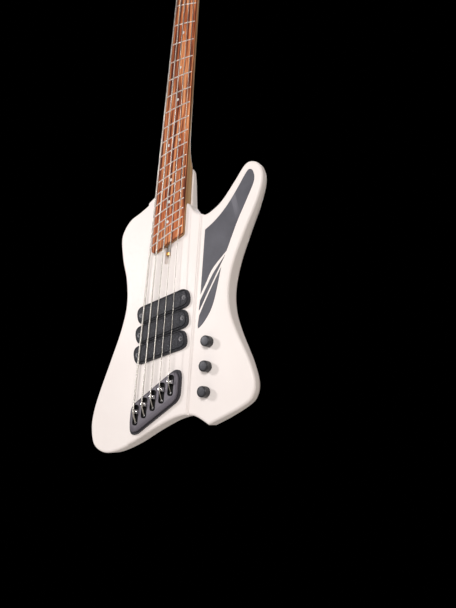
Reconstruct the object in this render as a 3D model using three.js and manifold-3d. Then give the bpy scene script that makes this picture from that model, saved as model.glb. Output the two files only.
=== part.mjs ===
// Five-string solid-body electric bass guitar with fanned frets and a bolt-on neck.
// Drawing frame: x across the strings (treble side +), y up the neck, z out of the face.
// The nut's treble end is y = 0 and the middle of the fingerboard's top is z = 0.
// The last group stands the instrument upright, its headstock at +Z and its face to -Y.
import * as THREE from "three";
import { mergeVertices } from "three/addons/utils/BufferGeometryUtils.js";
import Module from "manifold-3d";

const wasm = await Module();
wasm.setup();

// Driving dimensions, mm.
const STRINGS = 5;
const FRETS = 20;
const SCALE_BASS = 939.8;
const SCALE_TREBLE = 863.6;
const NUT_BASS_Y = 23.7;
const NUT_SPREAD = 38;
const BRIDGE_SPREAD = 72;
const NUT_STRING_Z = 2.1;
const BRIDGE_STRING_Z = 5.7;
const STRING_RADII = [1.6, 1.3, 1.05, 0.8, 0.6];
const STRING_NAMES = ["low_b", "e", "a", "d", "g"];

const BOARD_HALF_AT_NUT = 23.2;
const BOARD_TAPER = 0.0178;
const BOARD_RADIUS = 290;
const BOARD_UNDERSIDE = -6;
const BOARD_PAST_LAST_FRET = 16;
const FRET_WIDTH = 2.2;
const FRET_HEIGHT = 1.2;
const FRET_SEAT = 0.4;

const GAP = 0.3;
const CENTRE_TOP = -9.5;
const WING_TOP = -13.5;
const BODY_BACK = -46;
const EDGE_ROUND = 5;
const BACK_SLOPE_FROM = 132;
const BACK_SPREAD = 0.85;
const BACK_CURVE = [[1, 0], [0.5, 0.22], [0.18, 0.55], [0, 1]];
const CENTRE_LEFT = -58;
const CENTRE_RIGHT = 65;
const POCKET_FLOOR = -24.5;
const HEEL_START = -474;

const HEAD_FACE = -9.5;
const HEAD_BACK = -23.5;

const PICKUP_TILT = Math.atan(0.292);
const PICKUP_LENGTH = 117;
const PICKUP_WIDTH = 32.4;
const PICKUP_TOP = -3;
const PICKUP_Y = [-734.5, -770, -805.5];

const BRIDGE_LEFT = -48.5;
const BRIDGE_RIGHT = 50;
const BRIDGE_UPPER = -873.5;
const BRIDGE_LOWER = -926;
const BRIDGE_SLOPE = 0.72;
const BRIDGE_ROUNDING = [10, 30, 13, 28];
const BRIDGE_TOP = -1;
const BRIDGE_FLOOR = -7.4;
const POCKET_HALF = 6.2;
const SLOT_BELOW = 23;
const SLOT_ABOVE = 12;
const SADDLE_HALF = 5.4;

const KNOB_X = 99.5;
const KNOB_Y = [-796, -836.5, -877];
const KNOB_RADIUS = 9;
const KNOB_HEIGHT = 12.8;

const JACK_X = 91;
const JACK_SEAT_Y = -915;
const JACK_Z = -29.5;

const HANGER_Y = 42;
const HANGER_Z = -14;

function finish(color, roughness, metalness) {
  return new THREE.MeshStandardMaterial({ color, roughness, metalness });
}

const paint = finish(0xece4e0, 0.38, 0);
const maple = finish(0xb98f5e, 0.5, 0);
const rosewood = finish(0x9a4a2c, 0.55, 0);
const nickel = finish(0xd8d4cc, 0.25, 1);
const bone = finish(0x1c1c1e, 0.5, 0);
const steel = finish(0x8a8a8c, 0.35, 1);
const brass = finish(0xb5853a, 0.35, 1);
const slate = finish(0x62626c, 0.4, 0);
const pickupPlastic = finish(0x22242a, 0.45, 0);
const copper = finish(0x8a4b2a, 0.5, 0.6);
const anodised = finish(0x6c6874, 0.4, 0.8);
const chrome = finish(0xc4c4c8, 0.2, 1);
const charcoal = finish(0x2b2c30, 0.4, 0.4);
const blackPlastic = finish(0x19191b, 0.5, 0);

const instrument = new THREE.Group();

function add(name, geometry, material) {
  const mesh = new THREE.Mesh(geometry, material);
  mesh.name = name;
  instrument.add(mesh);
  return mesh;
}

// Solids: closed geometries in and out of the library that joins and cuts them.
function positionsOnly(geometry) {
  const plain = geometry.clone();
  for (const key of Object.keys(plain.attributes)) {
    if (key !== "position") plain.deleteAttribute(key);
  }
  return mergeVertices(plain, 1e-4);
}

function toSolid(geometry) {
  const merged = positionsOnly(geometry);
  const vertProperties = new Float32Array(merged.attributes.position.array);
  const triVerts = new Uint32Array(merged.index.array);
  return new wasm.Manifold(new wasm.Mesh({ numProp: 3, vertProperties, triVerts }));
}

function toGeometry(solid) {
  const mesh = solid.getMesh();
  const geometry = new THREE.BufferGeometry();
  geometry.setAttribute("position", new THREE.BufferAttribute(new Float32Array(mesh.vertProperties), 3));
  geometry.setIndex(new THREE.BufferAttribute(new Uint32Array(mesh.triVerts), 1));
  return geometry;
}

function cut(geometry, tools) {
  let solid = toSolid(geometry);
  for (const tool of tools) solid = solid.subtract(toSolid(tool));
  return toGeometry(solid);
}

function join(geometries) {
  let solid = toSolid(geometries[0]);
  for (const next of geometries.slice(1)) solid = solid.add(toSolid(next));
  return toGeometry(solid);
}

function common(first, second) {
  return toGeometry(toSolid(first).intersect(toSolid(second)));
}

// A closed skin over rings of equal length; capAxes names the two axes that lie in the end rings.
function loft(rings, capAxes) {
  const count = rings[0].length;
  const positions = rings.flat().flatMap((p) => [p.x, p.y, p.z]);
  const indices = [];
  for (let r = 0; r + 1 < rings.length; r++) {
    for (let i = 0; i < count; i++) {
      const a = r * count + i;
      const b = r * count + ((i + 1) % count);
      indices.push(a, b, b + count, a, b + count, a + count);
    }
  }
  const cap = (ring, first, flip) => {
    const flat = ring.map((p) => new THREE.Vector2(p[capAxes[0]], p[capAxes[1]]));
    const turned = THREE.ShapeUtils.isClockWise(flat) !== flip;
    for (const [a, b, c] of THREE.ShapeUtils.triangulateShape(flat, [])) {
      indices.push(first + a, first + (turned ? c : b), first + (turned ? b : c));
    }
  };
  cap(rings[0], 0, true);
  cap(rings[rings.length - 1], (rings.length - 1) * count, false);
  if (signedVolume(positions, indices) < 0) indices.reverse();
  const geometry = new THREE.BufferGeometry();
  geometry.setAttribute("position", new THREE.Float32BufferAttribute(positions, 3));
  geometry.setIndex(indices);
  return geometry;
}

function signedVolume(positions, indices) {
  const at = (i) => new THREE.Vector3().fromArray(positions, indices[i] * 3);
  let sum = 0;
  for (let i = 0; i < indices.length; i += 3) sum += at(i).dot(at(i + 1).cross(at(i + 2)));
  return sum / 6;
}

function box(x0, x1, y0, y1, z0, z1) {
  const geometry = new THREE.BoxGeometry(x1 - x0, y1 - y0, z1 - z0);
  return geometry.translate((x0 + x1) / 2, (y0 + y1) / 2, (z0 + z1) / 2);
}

// A cylinder along z from z0 to z1 at (x, y).
function post(radius, x, y, z0, z1, sides = 12) {
  const geometry = new THREE.CylinderGeometry(radius, radius, z1 - z0, sides);
  return geometry.rotateX(Math.PI / 2).translate(x, y, (z0 + z1) / 2);
}

// A turned piece: profile pairs [radius, height], its axis stood along z at (x, y).
function turned(profile, x, y, z, sides = 16) {
  const points = profile.map(([r, h]) => new THREE.Vector2(r, h));
  return new THREE.LatheGeometry(points, sides).rotateX(Math.PI / 2).translate(x, y, z);
}

function slab(shape, z0, z1, segments = 6) {
  const options = { depth: z1 - z0, bevelEnabled: false, curveSegments: segments };
  return new THREE.ExtrudeGeometry(shape, options).translate(0, 0, z0);
}

function shapeOf(points) {
  return new THREE.Shape(points.map(([x, y]) => new THREE.Vector2(x, y)));
}

// Polygon with each corner rounded by a quadratic curve that starts its reach before the corner.
function roundedShape(corners, reach) {
  const shape = new THREE.Shape();
  const at = (i) => new THREE.Vector2(...corners[(i + corners.length) % corners.length]);
  corners.forEach((_, i) => {
    const corner = at(i);
    const length = Array.isArray(reach) ? reach[i] : reach;
    const before = at(i - 1).sub(corner).setLength(length).add(corner);
    const after = at(i + 1).sub(corner).setLength(length).add(corner);
    if (i === 0) shape.moveTo(before.x, before.y);
    else shape.lineTo(before.x, before.y);
    shape.quadraticCurveTo(corner.x, corner.y, after.x, after.y);
  });
  shape.closePath();
  return shape;
}

// Strings: where each one stands at the nut and over its saddle.
function stringLine(i) {
  const s = i / (STRINGS - 1);
  const nut = new THREE.Vector3((s - 0.5) * NUT_SPREAD, NUT_BASS_Y * (1 - s), NUT_STRING_Z);
  const saddleY = (NUT_BASS_Y - SCALE_BASS) * (1 - s) - SCALE_TREBLE * s;
  const saddle = new THREE.Vector3((s - 0.5) * BRIDGE_SPREAD, saddleY, BRIDGE_STRING_Z);
  return { nut, saddle };
}

function stringX(i, y) {
  const { nut, saddle } = stringLine(i);
  return THREE.MathUtils.mapLinear(y, nut.y, saddle.y, nut.x, saddle.x);
}

function boardHalf(y) {
  return BOARD_HALF_AT_NUT - BOARD_TAPER * y;
}

function boardTop(x) {
  return Math.sqrt(BOARD_RADIUS ** 2 - x ** 2) - BOARD_RADIUS;
}

// The straight line of fret n across the board, as {y, slope} at x = 0.
function fretLine(n) {
  const along = 1 - 2 ** (-n / 12);
  const bass = stringLine(0);
  const treble = stringLine(STRINGS - 1);
  const a = bass.nut.clone().lerp(bass.saddle, along);
  const b = treble.nut.clone().lerp(treble.saddle, along);
  const slope = (b.y - a.y) / (b.x - a.x);
  return { y: a.y - slope * a.x, slope };
}

// Where a slanted line meets the board's edge, grown outwards; side is -1 or 1.
function boardCorner(line, side, grow) {
  const x = (side * (boardHalf(line.y) + grow)) / (1 + side * BOARD_TAPER * line.slope);
  return [x, line.y + line.slope * x];
}

// The board's outline, from one slanted line to another, its last bass corner rounded.
function boardShape(top, end, grow) {
  const corner = (line, side) => boardCorner(line, side, grow);
  const [bl, br] = [corner(end, -1), corner(end, 1)];
  const [tl, tr] = [corner(top, -1), corner(top, 1)];
  const shape = new THREE.Shape();
  shape.moveTo(...tl);
  shape.lineTo(bl[0] + 10 * BOARD_TAPER, bl[1] + 10);
  shape.quadraticCurveTo(bl[0], bl[1], bl[0] + 12, bl[1] + 12 * end.slope);
  shape.lineTo(br[0] - 4, br[1] - 4 * end.slope);
  shape.quadraticCurveTo(br[0], br[1], br[0] - 4 * BOARD_TAPER, br[1] + 4);
  shape.lineTo(...tr);
  shape.closePath();
  return shape;
}

const nutFront = fretLine(0);
const nutBack = { y: nutFront.y + 5.6, slope: nutFront.slope };
const boardEnd = { y: fretLine(FRETS).y - BOARD_PAST_LAST_FRET, slope: fretLine(FRETS).slope };

// A rod with the board's radius on top, used to shape the board and the nut.
function radiusBlock(y0, y1, lift, bottom) {
  const half = 40;
  const ring = [new THREE.Vector3(-half, y0, bottom), new THREE.Vector3(half, y0, bottom)];
  const steps = 10;
  for (let i = 0; i <= steps; i++) {
    const x = half - (2 * half * i) / steps;
    ring.push(new THREE.Vector3(x, y0, boardTop(x) + lift));
  }
  const other = ring.map((p) => new THREE.Vector3(p.x, y1, p.z));
  return loft([other, ring], ["x", "z"]);
}

// The board with its frets pressed in, as one piece.
function frettedBoard() {
  const outline = slab(boardShape(nutFront, boardEnd, 0), -8, 3);
  const blank = common(radiusBlock(-660, 40, 0, BOARD_UNDERSIDE), outline);
  const frets = Array.from({ length: FRETS }, (_, n) => fret(n + 1));
  return join([blank, ...frets]);
}

// One fret: a low trapezoid bar carried across the board's radius.
function fret(n) {
  const line = fretLine(n);
  const half = boardHalf(line.y) - 0.5;
  const across = Math.hypot(1, line.slope);
  const steps = 4;
  const rings = [];
  for (let i = 0; i <= steps; i++) {
    const x = -half + (2 * half * i) / steps;
    const z = boardTop(x) - FRET_SEAT;
    const y = line.y + line.slope * x;
    const foot = (FRET_WIDTH / 2) * across;
    const crown = foot * 0.5;
    const top = FRET_SEAT + FRET_HEIGHT;
    const spot = (dy, dz) => new THREE.Vector3(x, y + dy, z + dz);
    rings.push([spot(-foot, 0), spot(foot, 0), spot(crown, top), spot(-crown, top)]);
  }
  return loft(rings, ["y", "z"]);
}

function nutPiece() {
  const front = { y: nutFront.y + GAP, slope: nutFront.slope };
  const corners = [[nutBack, -1], [front, -1], [front, 1], [nutBack, 1]];
  const strip = slab(shapeOf(corners.map(([line, side]) => boardCorner(line, side, -0.4))), -8, 6);
  const body = common(strip, radiusBlock(-60, 60, NUT_STRING_Z - 0.2, BOARD_UNDERSIDE + GAP));
  const slots = [];
  for (let i = 0; i < STRINGS; i++) {
    const { nut } = stringLine(i);
    const r = STRING_RADII[i] + GAP;
    slots.push(box(nut.x - r - 0.5, nut.x + r + 0.5, nut.y - 14, nut.y + 14, NUT_STRING_Z - r, 8));
  }
  return cut(body, slots);
}

// Neck: D-shaped sections that turn square at the heel; power below 1 squares the section.
function neckSection(y, half, depth, power) {
  const top = BOARD_UNDERSIDE - GAP;
  const ring = [];
  const steps = 12;
  for (let i = 0; i <= steps; i++) {
    const angle = (Math.PI * i) / steps;
    const c = Math.cos(angle);
    const x = half * Math.sign(c) * Math.abs(c) ** power;
    ring.push(new THREE.Vector3(Math.abs(c) < 1e-9 ? 0 : x, y, top - depth * Math.sin(angle) ** power));
  }
  return ring;
}

function headShape() {
  const shape = new THREE.Shape();
  shape.moveTo(-22.6, -6);
  shape.lineTo(-23.4, 34);
  const bassSide = [[-30, 58], [-40, 72], [-43, 92], [-40, 150], [-35, 192]];
  shape.splineThru(bassSide.map((p) => new THREE.Vector2(...p)));
  shape.quadraticCurveTo(-31, 216, -12, 221);
  shape.quadraticCurveTo(14, 222, 28, 190);
  shape.splineThru([[38, 150], [43, 98], [40, 74], [30, 56], [23, 32]].map((p) => new THREE.Vector2(...p)));
  shape.lineTo(22.6, -6);
  shape.closePath();
  return shape;
}

const HEEL_DEPTH = BOARD_UNDERSIDE - GAP - (POCKET_FLOOR + GAP);

function neck() {
  const stations = [
    [44, 17.4, 0.6], [8, 17.3, 0.68], [-22, 15.6, 0.85], [-60, 14.5, 0.95],
    [-260, 15.2, 0.95], [-425, 16, 0.95], [-448, 16.6, 0.7], [-462, 17.2, 0.42],
    [HEEL_START, HEEL_DEPTH, 0.16], [-660, HEEL_DEPTH, 0.16],
  ];
  const rings = stations.map(([y, depth, power]) => neckSection(y, boardHalf(y) - 0.2, depth, power));
  const outline = slab(boardShape(nutBack, boardEnd, 0.2), -40, 0);
  const shaft = common(loft(rings, ["x", "z"]), outline);
  const head = slab(headShape(), HEAD_BACK, HEAD_FACE, 5);
  return join([shaft, head]);
}

const TRUSS_Y = [-634, 0];
const TRUSS_Z = -11.4;
const TRUSS_RADIUS = 3;

function trussRod() {
  const rod = new THREE.CylinderGeometry(TRUSS_RADIUS, TRUSS_RADIUS, TRUSS_Y[1] - TRUSS_Y[0], 10);
  return rod.translate(0, (TRUSS_Y[0] + TRUSS_Y[1]) / 2, TRUSS_Z);
}

// The thumb wheel that tightens the rod, its rim drilled for a pin.
function trussWheel() {
  const profile = [[0, 0], [4.6, 0], [5, 0.6], [5, 5.4], [4.6, 6], [0, 6]];
  const wheel = new THREE.LatheGeometry(profile.map((p) => new THREE.Vector2(...p)), 16);
  wheel.translate(0, TRUSS_Y[0] - 6 - GAP, TRUSS_Z);
  const holes = [0, 1, 2, 3].map((i) => {
    const hole = new THREE.CylinderGeometry(0.9, 0.9, 3, 6).translate(0, 5, 0).rotateY(0);
    hole.rotateX(Math.PI / 2).rotateY((i * Math.PI) / 2);
    return hole.translate(0, TRUSS_Y[0] - 3 - GAP, TRUSS_Z);
  });
  return cut(wheel, holes);
}

// Body outline: bass shoulder, waist and lobe, the tail's long slant, the treble point and horn.
function bodyOutline() {
  const spline = (path, points) => path.splineThru(points.map((p) => new THREE.Vector2(...p)));
  const path = new THREE.Shape();
  path.moveTo(-34, -511);
  spline(path, [[-60, -530], [-84, -544], [-106, -555], [-121, -574], [-126, -596], [-117, -637],
    [-103, -677], [-96.5, -724], [-104.5, -771], [-123.5, -827], [-143.5, -883], [-154, -920],
    [-156, -950], [-146, -980], [-122, -992], [-92, -988.5], [-50, -970.5], [-7, -945.5],
    [34, -924.5], [62, -916], [82, -917], [107, -928]]);
  spline(path, [[130, -916.5], [166, -897.5], [184, -882.5], [188.5, -859], [176, -825],
    [149, -777.5], [134, -742], [130, -705], [137, -662], [155, -613], [175, -564], [184, -527],
    [179, -503], [164, -491.5], [148, -494.5], [130, -519], [106, -550.5], [86, -566],
    [70, -571.5], [52, -564.5], [36, -547]]);
  const spaced = [];
  for (const curve of path.curves) {
    const count = Math.round(curve.getLength() / 20);
    spaced.push(...curve.getPoints(count).slice(0, -1));
  }
  spaced.push(new THREE.Vector2(36, -547));
  return spaced;
}

function insetPoint(points, i, inset) {
  const count = points.length;
  const p = points[i];
  const before = p.clone().sub(points[(i + count - 1) % count]).normalize();
  const after = points[(i + 1) % count].clone().sub(p).normalize();
  const tangent = before.add(after).normalize();
  return new THREE.Vector2(p.x - tangent.y * inset, p.y + tangent.x * inset);
}

function insetOutline(points, inset) {
  return points.map((_, i) => insetPoint(points, i, inset));
}

// The outline stacked in z: a rounded top edge, an upright wall, then a slope in to the flat back.
// backDrop gives how far above the back the wall ends at each point, which sets the slope's width.
function roundedSlab(points, bottom, top, topRound, backDrop) {
  const ring = (inset, level) => points.map((p, i) => {
    const moved = insetPoint(points, i, inset(p));
    return new THREE.Vector3(moved.x, moved.y, level(p));
  });
  const rings = BACK_CURVE.map(([across, down]) => (
    ring((p) => backDrop(p) * across * BACK_SPREAD, (p) => bottom + backDrop(p) * down)
  ));
  for (const t of [1, 0.7, 0.35, 0]) {
    const a = (t * Math.PI) / 2;
    rings.push(ring(() => topRound * (1 - Math.sin(a)), () => top - topRound * (1 - Math.cos(a))));
  }
  return loft(rings, ["x", "y"]);
}

// How deep the back's slope is: shallow at the waist and tail, deep at the horn and treble bout.
function backDrop(p) {
  const outward = Math.max(0, p.x - BACK_SLOPE_FROM);
  const hornward = THREE.MathUtils.clamp((p.y + 660) / 100, 0, 1) * Math.min(1, Math.max(0, p.x - 60) / 50);
  return 8 + 0.2 * outward + 2 * hornward;
}

// The raised middle: a long bar, its right foot sloped, cut from the same rounded outline.
function raisedCentre(points) {
  const slope = 2.5;
  const bar = loft([-1010, -480].map((y) => [
    new THREE.Vector3(CENTRE_LEFT - 1, y, WING_TOP - 8),
    new THREE.Vector3(CENTRE_LEFT, y, CENTRE_TOP + 1),
    new THREE.Vector3(CENTRE_RIGHT, y, CENTRE_TOP + 1),
    new THREE.Vector3(CENTRE_RIGHT + slope, y, WING_TOP - 8),
  ]), ["x", "z"]);
  return common(roundedSlab(points, WING_TOP - 16, CENTRE_TOP, EDGE_ROUND, () => 1), bar);
}

// The tongue that carries the heel past the cutaway, thinning towards its round end.
function heelTongue() {
  const stations = [
    [-580, 36, -45.5, 7], [-556, 35.5, -45.5, 8], [-540, 34.5, -43.5, 9], [-505, 33.4, -40, 10],
    [-484, 32.6, -37.5, 11], [-475, 30, -34, 8], [-470, 24, -30, 4],
  ];
  const rings = stations.map(([y, half, back, round]) => {
    const ring = [new THREE.Vector3(half, y, POCKET_FLOOR), new THREE.Vector3(-half, y, POCKET_FLOOR)];
    for (const side of [-1, 1]) {
      for (const t of side < 0 ? [0, 0.5, 1] : [1, 0.5, 0]) {
        const a = (t * Math.PI) / 2;
        const x = side * (half - round * (1 - Math.cos(a)));
        ring.push(new THREE.Vector3(x, y, back + round * (1 - Math.sin(a)) * 0.6));
      }
    }
    return ring;
  });
  return loft(rings, ["x", "z"]);
}

const COVER_SHAPE = [[64, -770], [64, -902], [128, -902], [146, -884], [146, -812], [124, -770]];
const CAVITY_SHAPE = [[76, -782], [76, -893], [124, -893], [136, -880], [136, -816], [120, -782]];
const COVER_THICK = 2.4;
const CAVITY_TOP = WING_TOP - 5.5;

const NECK_BOLTS = [[-20, -540], [20, -552], [-20, -598], [20, -588]];
const NECK_BOLT_RADIUS = 2.4;
const STRAP_BUTTONS = [
  { place: [-112, -948, BODY_BACK], turn: [Math.PI, 0, 0] },
  { place: [-56, -566, BODY_BACK], turn: [Math.PI, 0, 0] },
];

function onButton(geometry, { place, turn }) {
  return geometry.rotateX(turn[0]).translate(...place);
}

function pickupShape(grow) {
  const half = [PICKUP_LENGTH / 2 + grow, PICKUP_WIDTH / 2 + grow];
  const corners = [[-half[0], -half[1]], [half[0], -half[1]], [half[0], half[1]], [-half[0], half[1]]];
  return roundedShape(corners, half[1] - 1.2);
}

function atPickup(geometry, k) {
  return geometry.rotateZ(PICKUP_TILT).translate(0.5, PICKUP_Y[k], 0);
}

function bridgeShape(grow) {
  const [left, right, slope] = [BRIDGE_LEFT - grow, BRIDGE_RIGHT + grow, BRIDGE_SLOPE];
  const up = BRIDGE_UPPER + grow * 1.2;
  const down = BRIDGE_LOWER - grow * 1.2;
  const corners = [
    [left, up + slope * left], [left, down + slope * left],
    [right, down + slope * right], [right, up + slope * right],
  ];
  return roundedShape(corners, BRIDGE_ROUNDING);
}

function bodyCuts() {
  const pocketEnd = { y: boardEnd.y - 0.4, slope: boardEnd.slope };
  const cuts = [
    slab(boardShape({ y: -400, slope: 0 }, pocketEnd, 0.5), POCKET_FLOOR, 0),
    box(-6, 6, -656, -600, TRUSS_Z - 6, 0),
    slab(shapeOf(COVER_SHAPE), BODY_BACK - 1, BODY_BACK + COVER_THICK + GAP),
    slab(roundedShape(CAVITY_SHAPE, 8), BODY_BACK - 1, CAVITY_TOP, 3),
    post(11, 0, 0, 0, 30, 16).rotateX(Math.PI / 2).translate(JACK_X, JACK_SEAT_Y, JACK_Z),
    post(5.4, 0, 0, -40, 2, 12).rotateX(Math.PI / 2).translate(JACK_X, JACK_SEAT_Y, JACK_Z),
  ];
  for (const k of [0, 1, 2]) cuts.push(atPickup(slab(pickupShape(0.5), -29, 0, 3), k));
  for (const y of KNOB_Y) cuts.push(post(4.3, KNOB_X, y, CAVITY_TOP - 1, 0, 12));
  for (const [x, y] of NECK_BOLTS) {
    cuts.push(post(NECK_BOLT_RADIUS + GAP, x, y, BODY_BACK - 1, POCKET_FLOOR + 1, 10));
    cuts.push(post(6.3, x, y, BODY_BACK - 1, BODY_BACK + 3.5, 12));
  }
  for (const button of STRAP_BUTTONS) cuts.push(onButton(post(5.4, 0, 0, -2, 4, 12), button));
  cuts.push(hornPanel(GAP), hornStrip(0, GAP), hornStrip(1, GAP));
  return cuts;
}

// Horn trim: a tapering panel and two swept strips, let into the treble wing.
const TRIM_DEPTH = 1.6;

function panelShape() {
  const shape = new THREE.Shape();
  const spline = (points) => shape.splineThru(points.map((p) => new THREE.Vector2(...p)));
  shape.moveTo(75, -601);
  shape.lineTo(75, -716);
  spline([[85, -696], [97, -672], [123, -644]]);
  spline([[140, -597], [156, -561], [169, -529], [166, -511], [158, -506], [151, -513]]);
  spline([[133, -542], [115, -567], [95, -587], [75, -601]]);
  return shape;
}

function stripShape(points, returnPoints) {
  const shape = new THREE.Shape();
  shape.moveTo(...points[0]);
  shape.splineThru(points.slice(1).map((p) => new THREE.Vector2(...p)));
  shape.splineThru(returnPoints.map((p) => new THREE.Vector2(...p)));
  shape.closePath();
  return shape;
}

const STRIPS = [
  [[[121, -650], [100, -678], [86, -704], [75, -726]], [[74.5, -743], [88, -716], [101, -690], [121, -650]]],
  [[[114, -671], [99, -700], [86, -727], [75, -752]], [[75, -773], [92, -755], [104, -727], [114, -671]]],
];

// A trim piece, or with grow above 0 the recess cut for it.
function trimPiece(shape, grow) {
  const bottom = WING_TOP - TRIM_DEPTH - grow;
  const top = grow > 0 ? 0 : WING_TOP + 0.05;
  const raw = shape.getPoints(4);
  const points = raw.filter((p, i) => p.distanceTo(raw[(i + 1) % raw.length]) > 0.5);
  const sign = THREE.ShapeUtils.isClockWise(points) ? -1 : 1;
  return slab(new THREE.Shape(insetOutline(points, grow > 0 ? 0 : GAP * sign)), bottom, top);
}

const hornPanel = (grow) => trimPiece(panelShape(), grow);
const hornStrip = (k, grow) => trimPiece(stripShape(...STRIPS[k]), grow);

function body() {
  const outline = bodyOutline();
  const base = roundedSlab(outline, BODY_BACK, WING_TOP, EDGE_ROUND, backDrop);
  return cut(join([base, raisedCentre(outline), heelTongue()]), bodyCuts());
}

// Electrics: covers are open underneath and hold their coils.
function pickupCover(k) {
  const shell = slab(pickupShape(0), -22, PICKUP_TOP, 3);
  const room = slab(pickupShape(-1.6), -24, PICKUP_TOP - 1.8, 3);
  return atPickup(cut(shell, [room]), k);
}

// Two coils side by side on the base plate that carries them.
function coilPair(k) {
  const coil = (y) => {
    const corners = [[-40, y - 5.5], [40, y - 5.5], [40, y + 5.5], [-40, y + 5.5]];
    return slab(roundedShape(corners, 5), -20, PICKUP_TOP - 2.2, 2);
  };
  return atPickup(join([coil(-6.6), coil(6.6), box(-44, 44, -13, 13, -21.5, -19.5)]), k);
}

// Bridge: one plate with a round-ended slot for each saddle.
function bridgePlate() {
  const foot = slab(bridgeShape(2.6), CENTRE_TOP + GAP, BRIDGE_TOP - 3.4, 3);
  const top = slab(bridgeShape(0), CENTRE_TOP + 2, BRIDGE_TOP, 3);
  const cuts = [];
  for (let i = 0; i < STRINGS; i++) {
    const { saddle } = stringLine(i);
    const [left, right] = [saddle.x - POCKET_HALF, saddle.x + POCKET_HALF];
    const [low, high] = [saddle.y - SLOT_BELOW, saddle.y + SLOT_ABOVE];
    const slot = [[left, low], [right, low], [right, high], [left, high]];
    cuts.push(slab(roundedShape(slot, POCKET_HALF - 1), BRIDGE_FLOOR, 4, 3));
  }
  return cut(join([foot, top]), cuts);
}

// A saddle block: steep behind the string's rest at y = 0, stepping down towards the neck.
function saddleBlock(i) {
  const { saddle } = stringLine(i);
  const rest = BRIDGE_STRING_Z - STRING_RADII[i] - GAP;
  const [rear, front, low] = [-4, 4.6, BRIDGE_FLOOR + GAP];
  const profile = [
    [rear, low], [front, low], [front, rest - 5.4], [3.2, rest - 2.4],
    [1.3, rest], [-0.5, rest], [-2.8, rest - 1.8], [rear, rest - 4.6],
  ];
  const side = new THREE.Shape(profile.map(([y, z]) => new THREE.Vector2(y, z)));
  const block = new THREE.ExtrudeGeometry(side, { depth: 2 * SADDLE_HALF, bevelEnabled: false });
  const turn = new THREE.Matrix4().set(0, 0, 1, -SADDLE_HALF, 1, 0, 0, 0, 0, 1, 0, 0, 0, 0, 0, 1);
  return block.applyMatrix4(turn).translate(saddle.x, saddle.y, 0);
}

// Tuners: a hollow housing behind the head, a post with its wheel, a key with its worm.
const TUNERS = [
  { x: -28, y: 84, side: -1 }, { x: -26, y: 124, side: -1 }, { x: -23, y: 164, side: -1 },
  { x: 23, y: 144, side: 1 }, { x: 27, y: 102, side: 1 },
];
const KEY_AXIS_Z = HEAD_BACK - 8;
const WORM_OFFSET = 8.8;
const HOUSING_DEPTH = 14;

function tunerHousing({ x, y, side }) {
  const [y0, y1] = [y - 8.5, y + 13];
  const back = HEAD_BACK - GAP;
  const shell = box(x - 10, x + 10, y0, y1, back - HOUSING_DEPTH, back);
  const room = box(x - 8.2, x + 8.2, y0 + 1.6, y1 - 1.6, back - HOUSING_DEPTH + 1.6, back + 1);
  const bore = new THREE.CylinderGeometry(2.9, 2.9, 12, 12).rotateZ(Math.PI / 2);
  bore.translate(x + side * 10, y + WORM_OFFSET, KEY_AXIS_Z);
  return cut(shell, [room, bore]);
}

function tunerPost({ x, y }) {
  const profile = [[0, -35.8], [5.4, -35.5], [5.4, -28], [4.6, -28], [4.6, -3.5],
    [3.7, -1], [3.7, 2.2], [4.6, 4], [4.6, 5.4], [0, 5.4]];
  return turned(profile, x, y, 0, 12);
}

// The key: worm and stem along x, then a flat rounded grip in the plane of the head.
function tunerKey({ x, y, side }) {
  const profile = [[0, -7], [2.2, -7], [2.2, 13], [3.6, 13.6], [3.6, 16], [2, 17], [2, 24], [0, 24]];
  const stem = new THREE.LatheGeometry(profile.map((p) => new THREE.Vector2(...p)), 10);
  stem.rotateZ(-Math.PI / 2);
  const grip = new THREE.Shape();
  grip.moveTo(18, -3);
  grip.bezierCurveTo(19, -12, 27, -13, 33, -11);
  grip.quadraticCurveTo(37, 0, 33, 11);
  grip.bezierCurveTo(27, 13, 19, 12, 18, 3);
  grip.closePath();
  const key = join([stem, slab(grip, -2.6, 2.6, 3)]);
  if (side < 0) key.rotateZ(Math.PI);
  return key.translate(x, y + WORM_OFFSET, KEY_AXIS_Z);
}

// A string: ball end, over the saddle, along the neck, over the nut and down beside its post.
function stringPiece(i) {
  const { nut, saddle } = stringLine(i);
  const tuner = TUNERS[i];
  const r = STRING_RADII[i];
  const inside = tuner.x + (-tuner.side * (4.6 + r + GAP));
  const points = [
    new THREE.Vector3(saddle.x, saddle.y - 17.4, -2.6),
    new THREE.Vector3(saddle.x, saddle.y - 6, BRIDGE_STRING_Z - 1.9),
    saddle,
    nut,
    new THREE.Vector3(inside, tuner.y, 0.4),
  ];
  return tubeThrough(points, r, 8);
}

// A round bar through straight stretches, mitred where they meet.
function tubeThrough(points, radius, sides) {
  const across = new THREE.Vector3(1, 0, 0);
  const rings = points.map((p, k) => {
    const before = k > 0 ? p.clone().sub(points[k - 1]).normalize() : null;
    const after = k + 1 < points.length ? points[k + 1].clone().sub(p).normalize() : null;
    const along = (before ?? after).clone().add(after ?? before).normalize();
    const u = across.clone().addScaledVector(along, -across.dot(along)).normalize();
    const v = new THREE.Vector3().crossVectors(along, u);
    return Array.from({ length: sides }, (_, s) => {
      const a = (2 * Math.PI * s) / sides;
      return p.clone().addScaledVector(u, radius * Math.cos(a)).addScaledVector(v, radius * Math.sin(a));
    });
  });
  return loft(rings, ["x", "z"]);
}

// Controls.
function knob(y) {
  const r = KNOB_RADIUS;
  const h = KNOB_HEIGHT;
  const profile = [[0, 4], [3.3, 4], [3.3, 0], [r, 0], [r, h - 1.4], [r - 0.5, h - 0.8], [r - 1.4, h - 0.8],
    [r - 1.8, h - 0.2], [r - 2.4, h], [0, h]];
  return turned(profile, KNOB_X, y, WING_TOP + 0.7, 18);
}

function controlShaft(y) {
  const top = WING_TOP + 0.7 + 4 - GAP;
  return post(3, KNOB_X, y, CAVITY_TOP - 2, top, 12);
}

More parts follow.
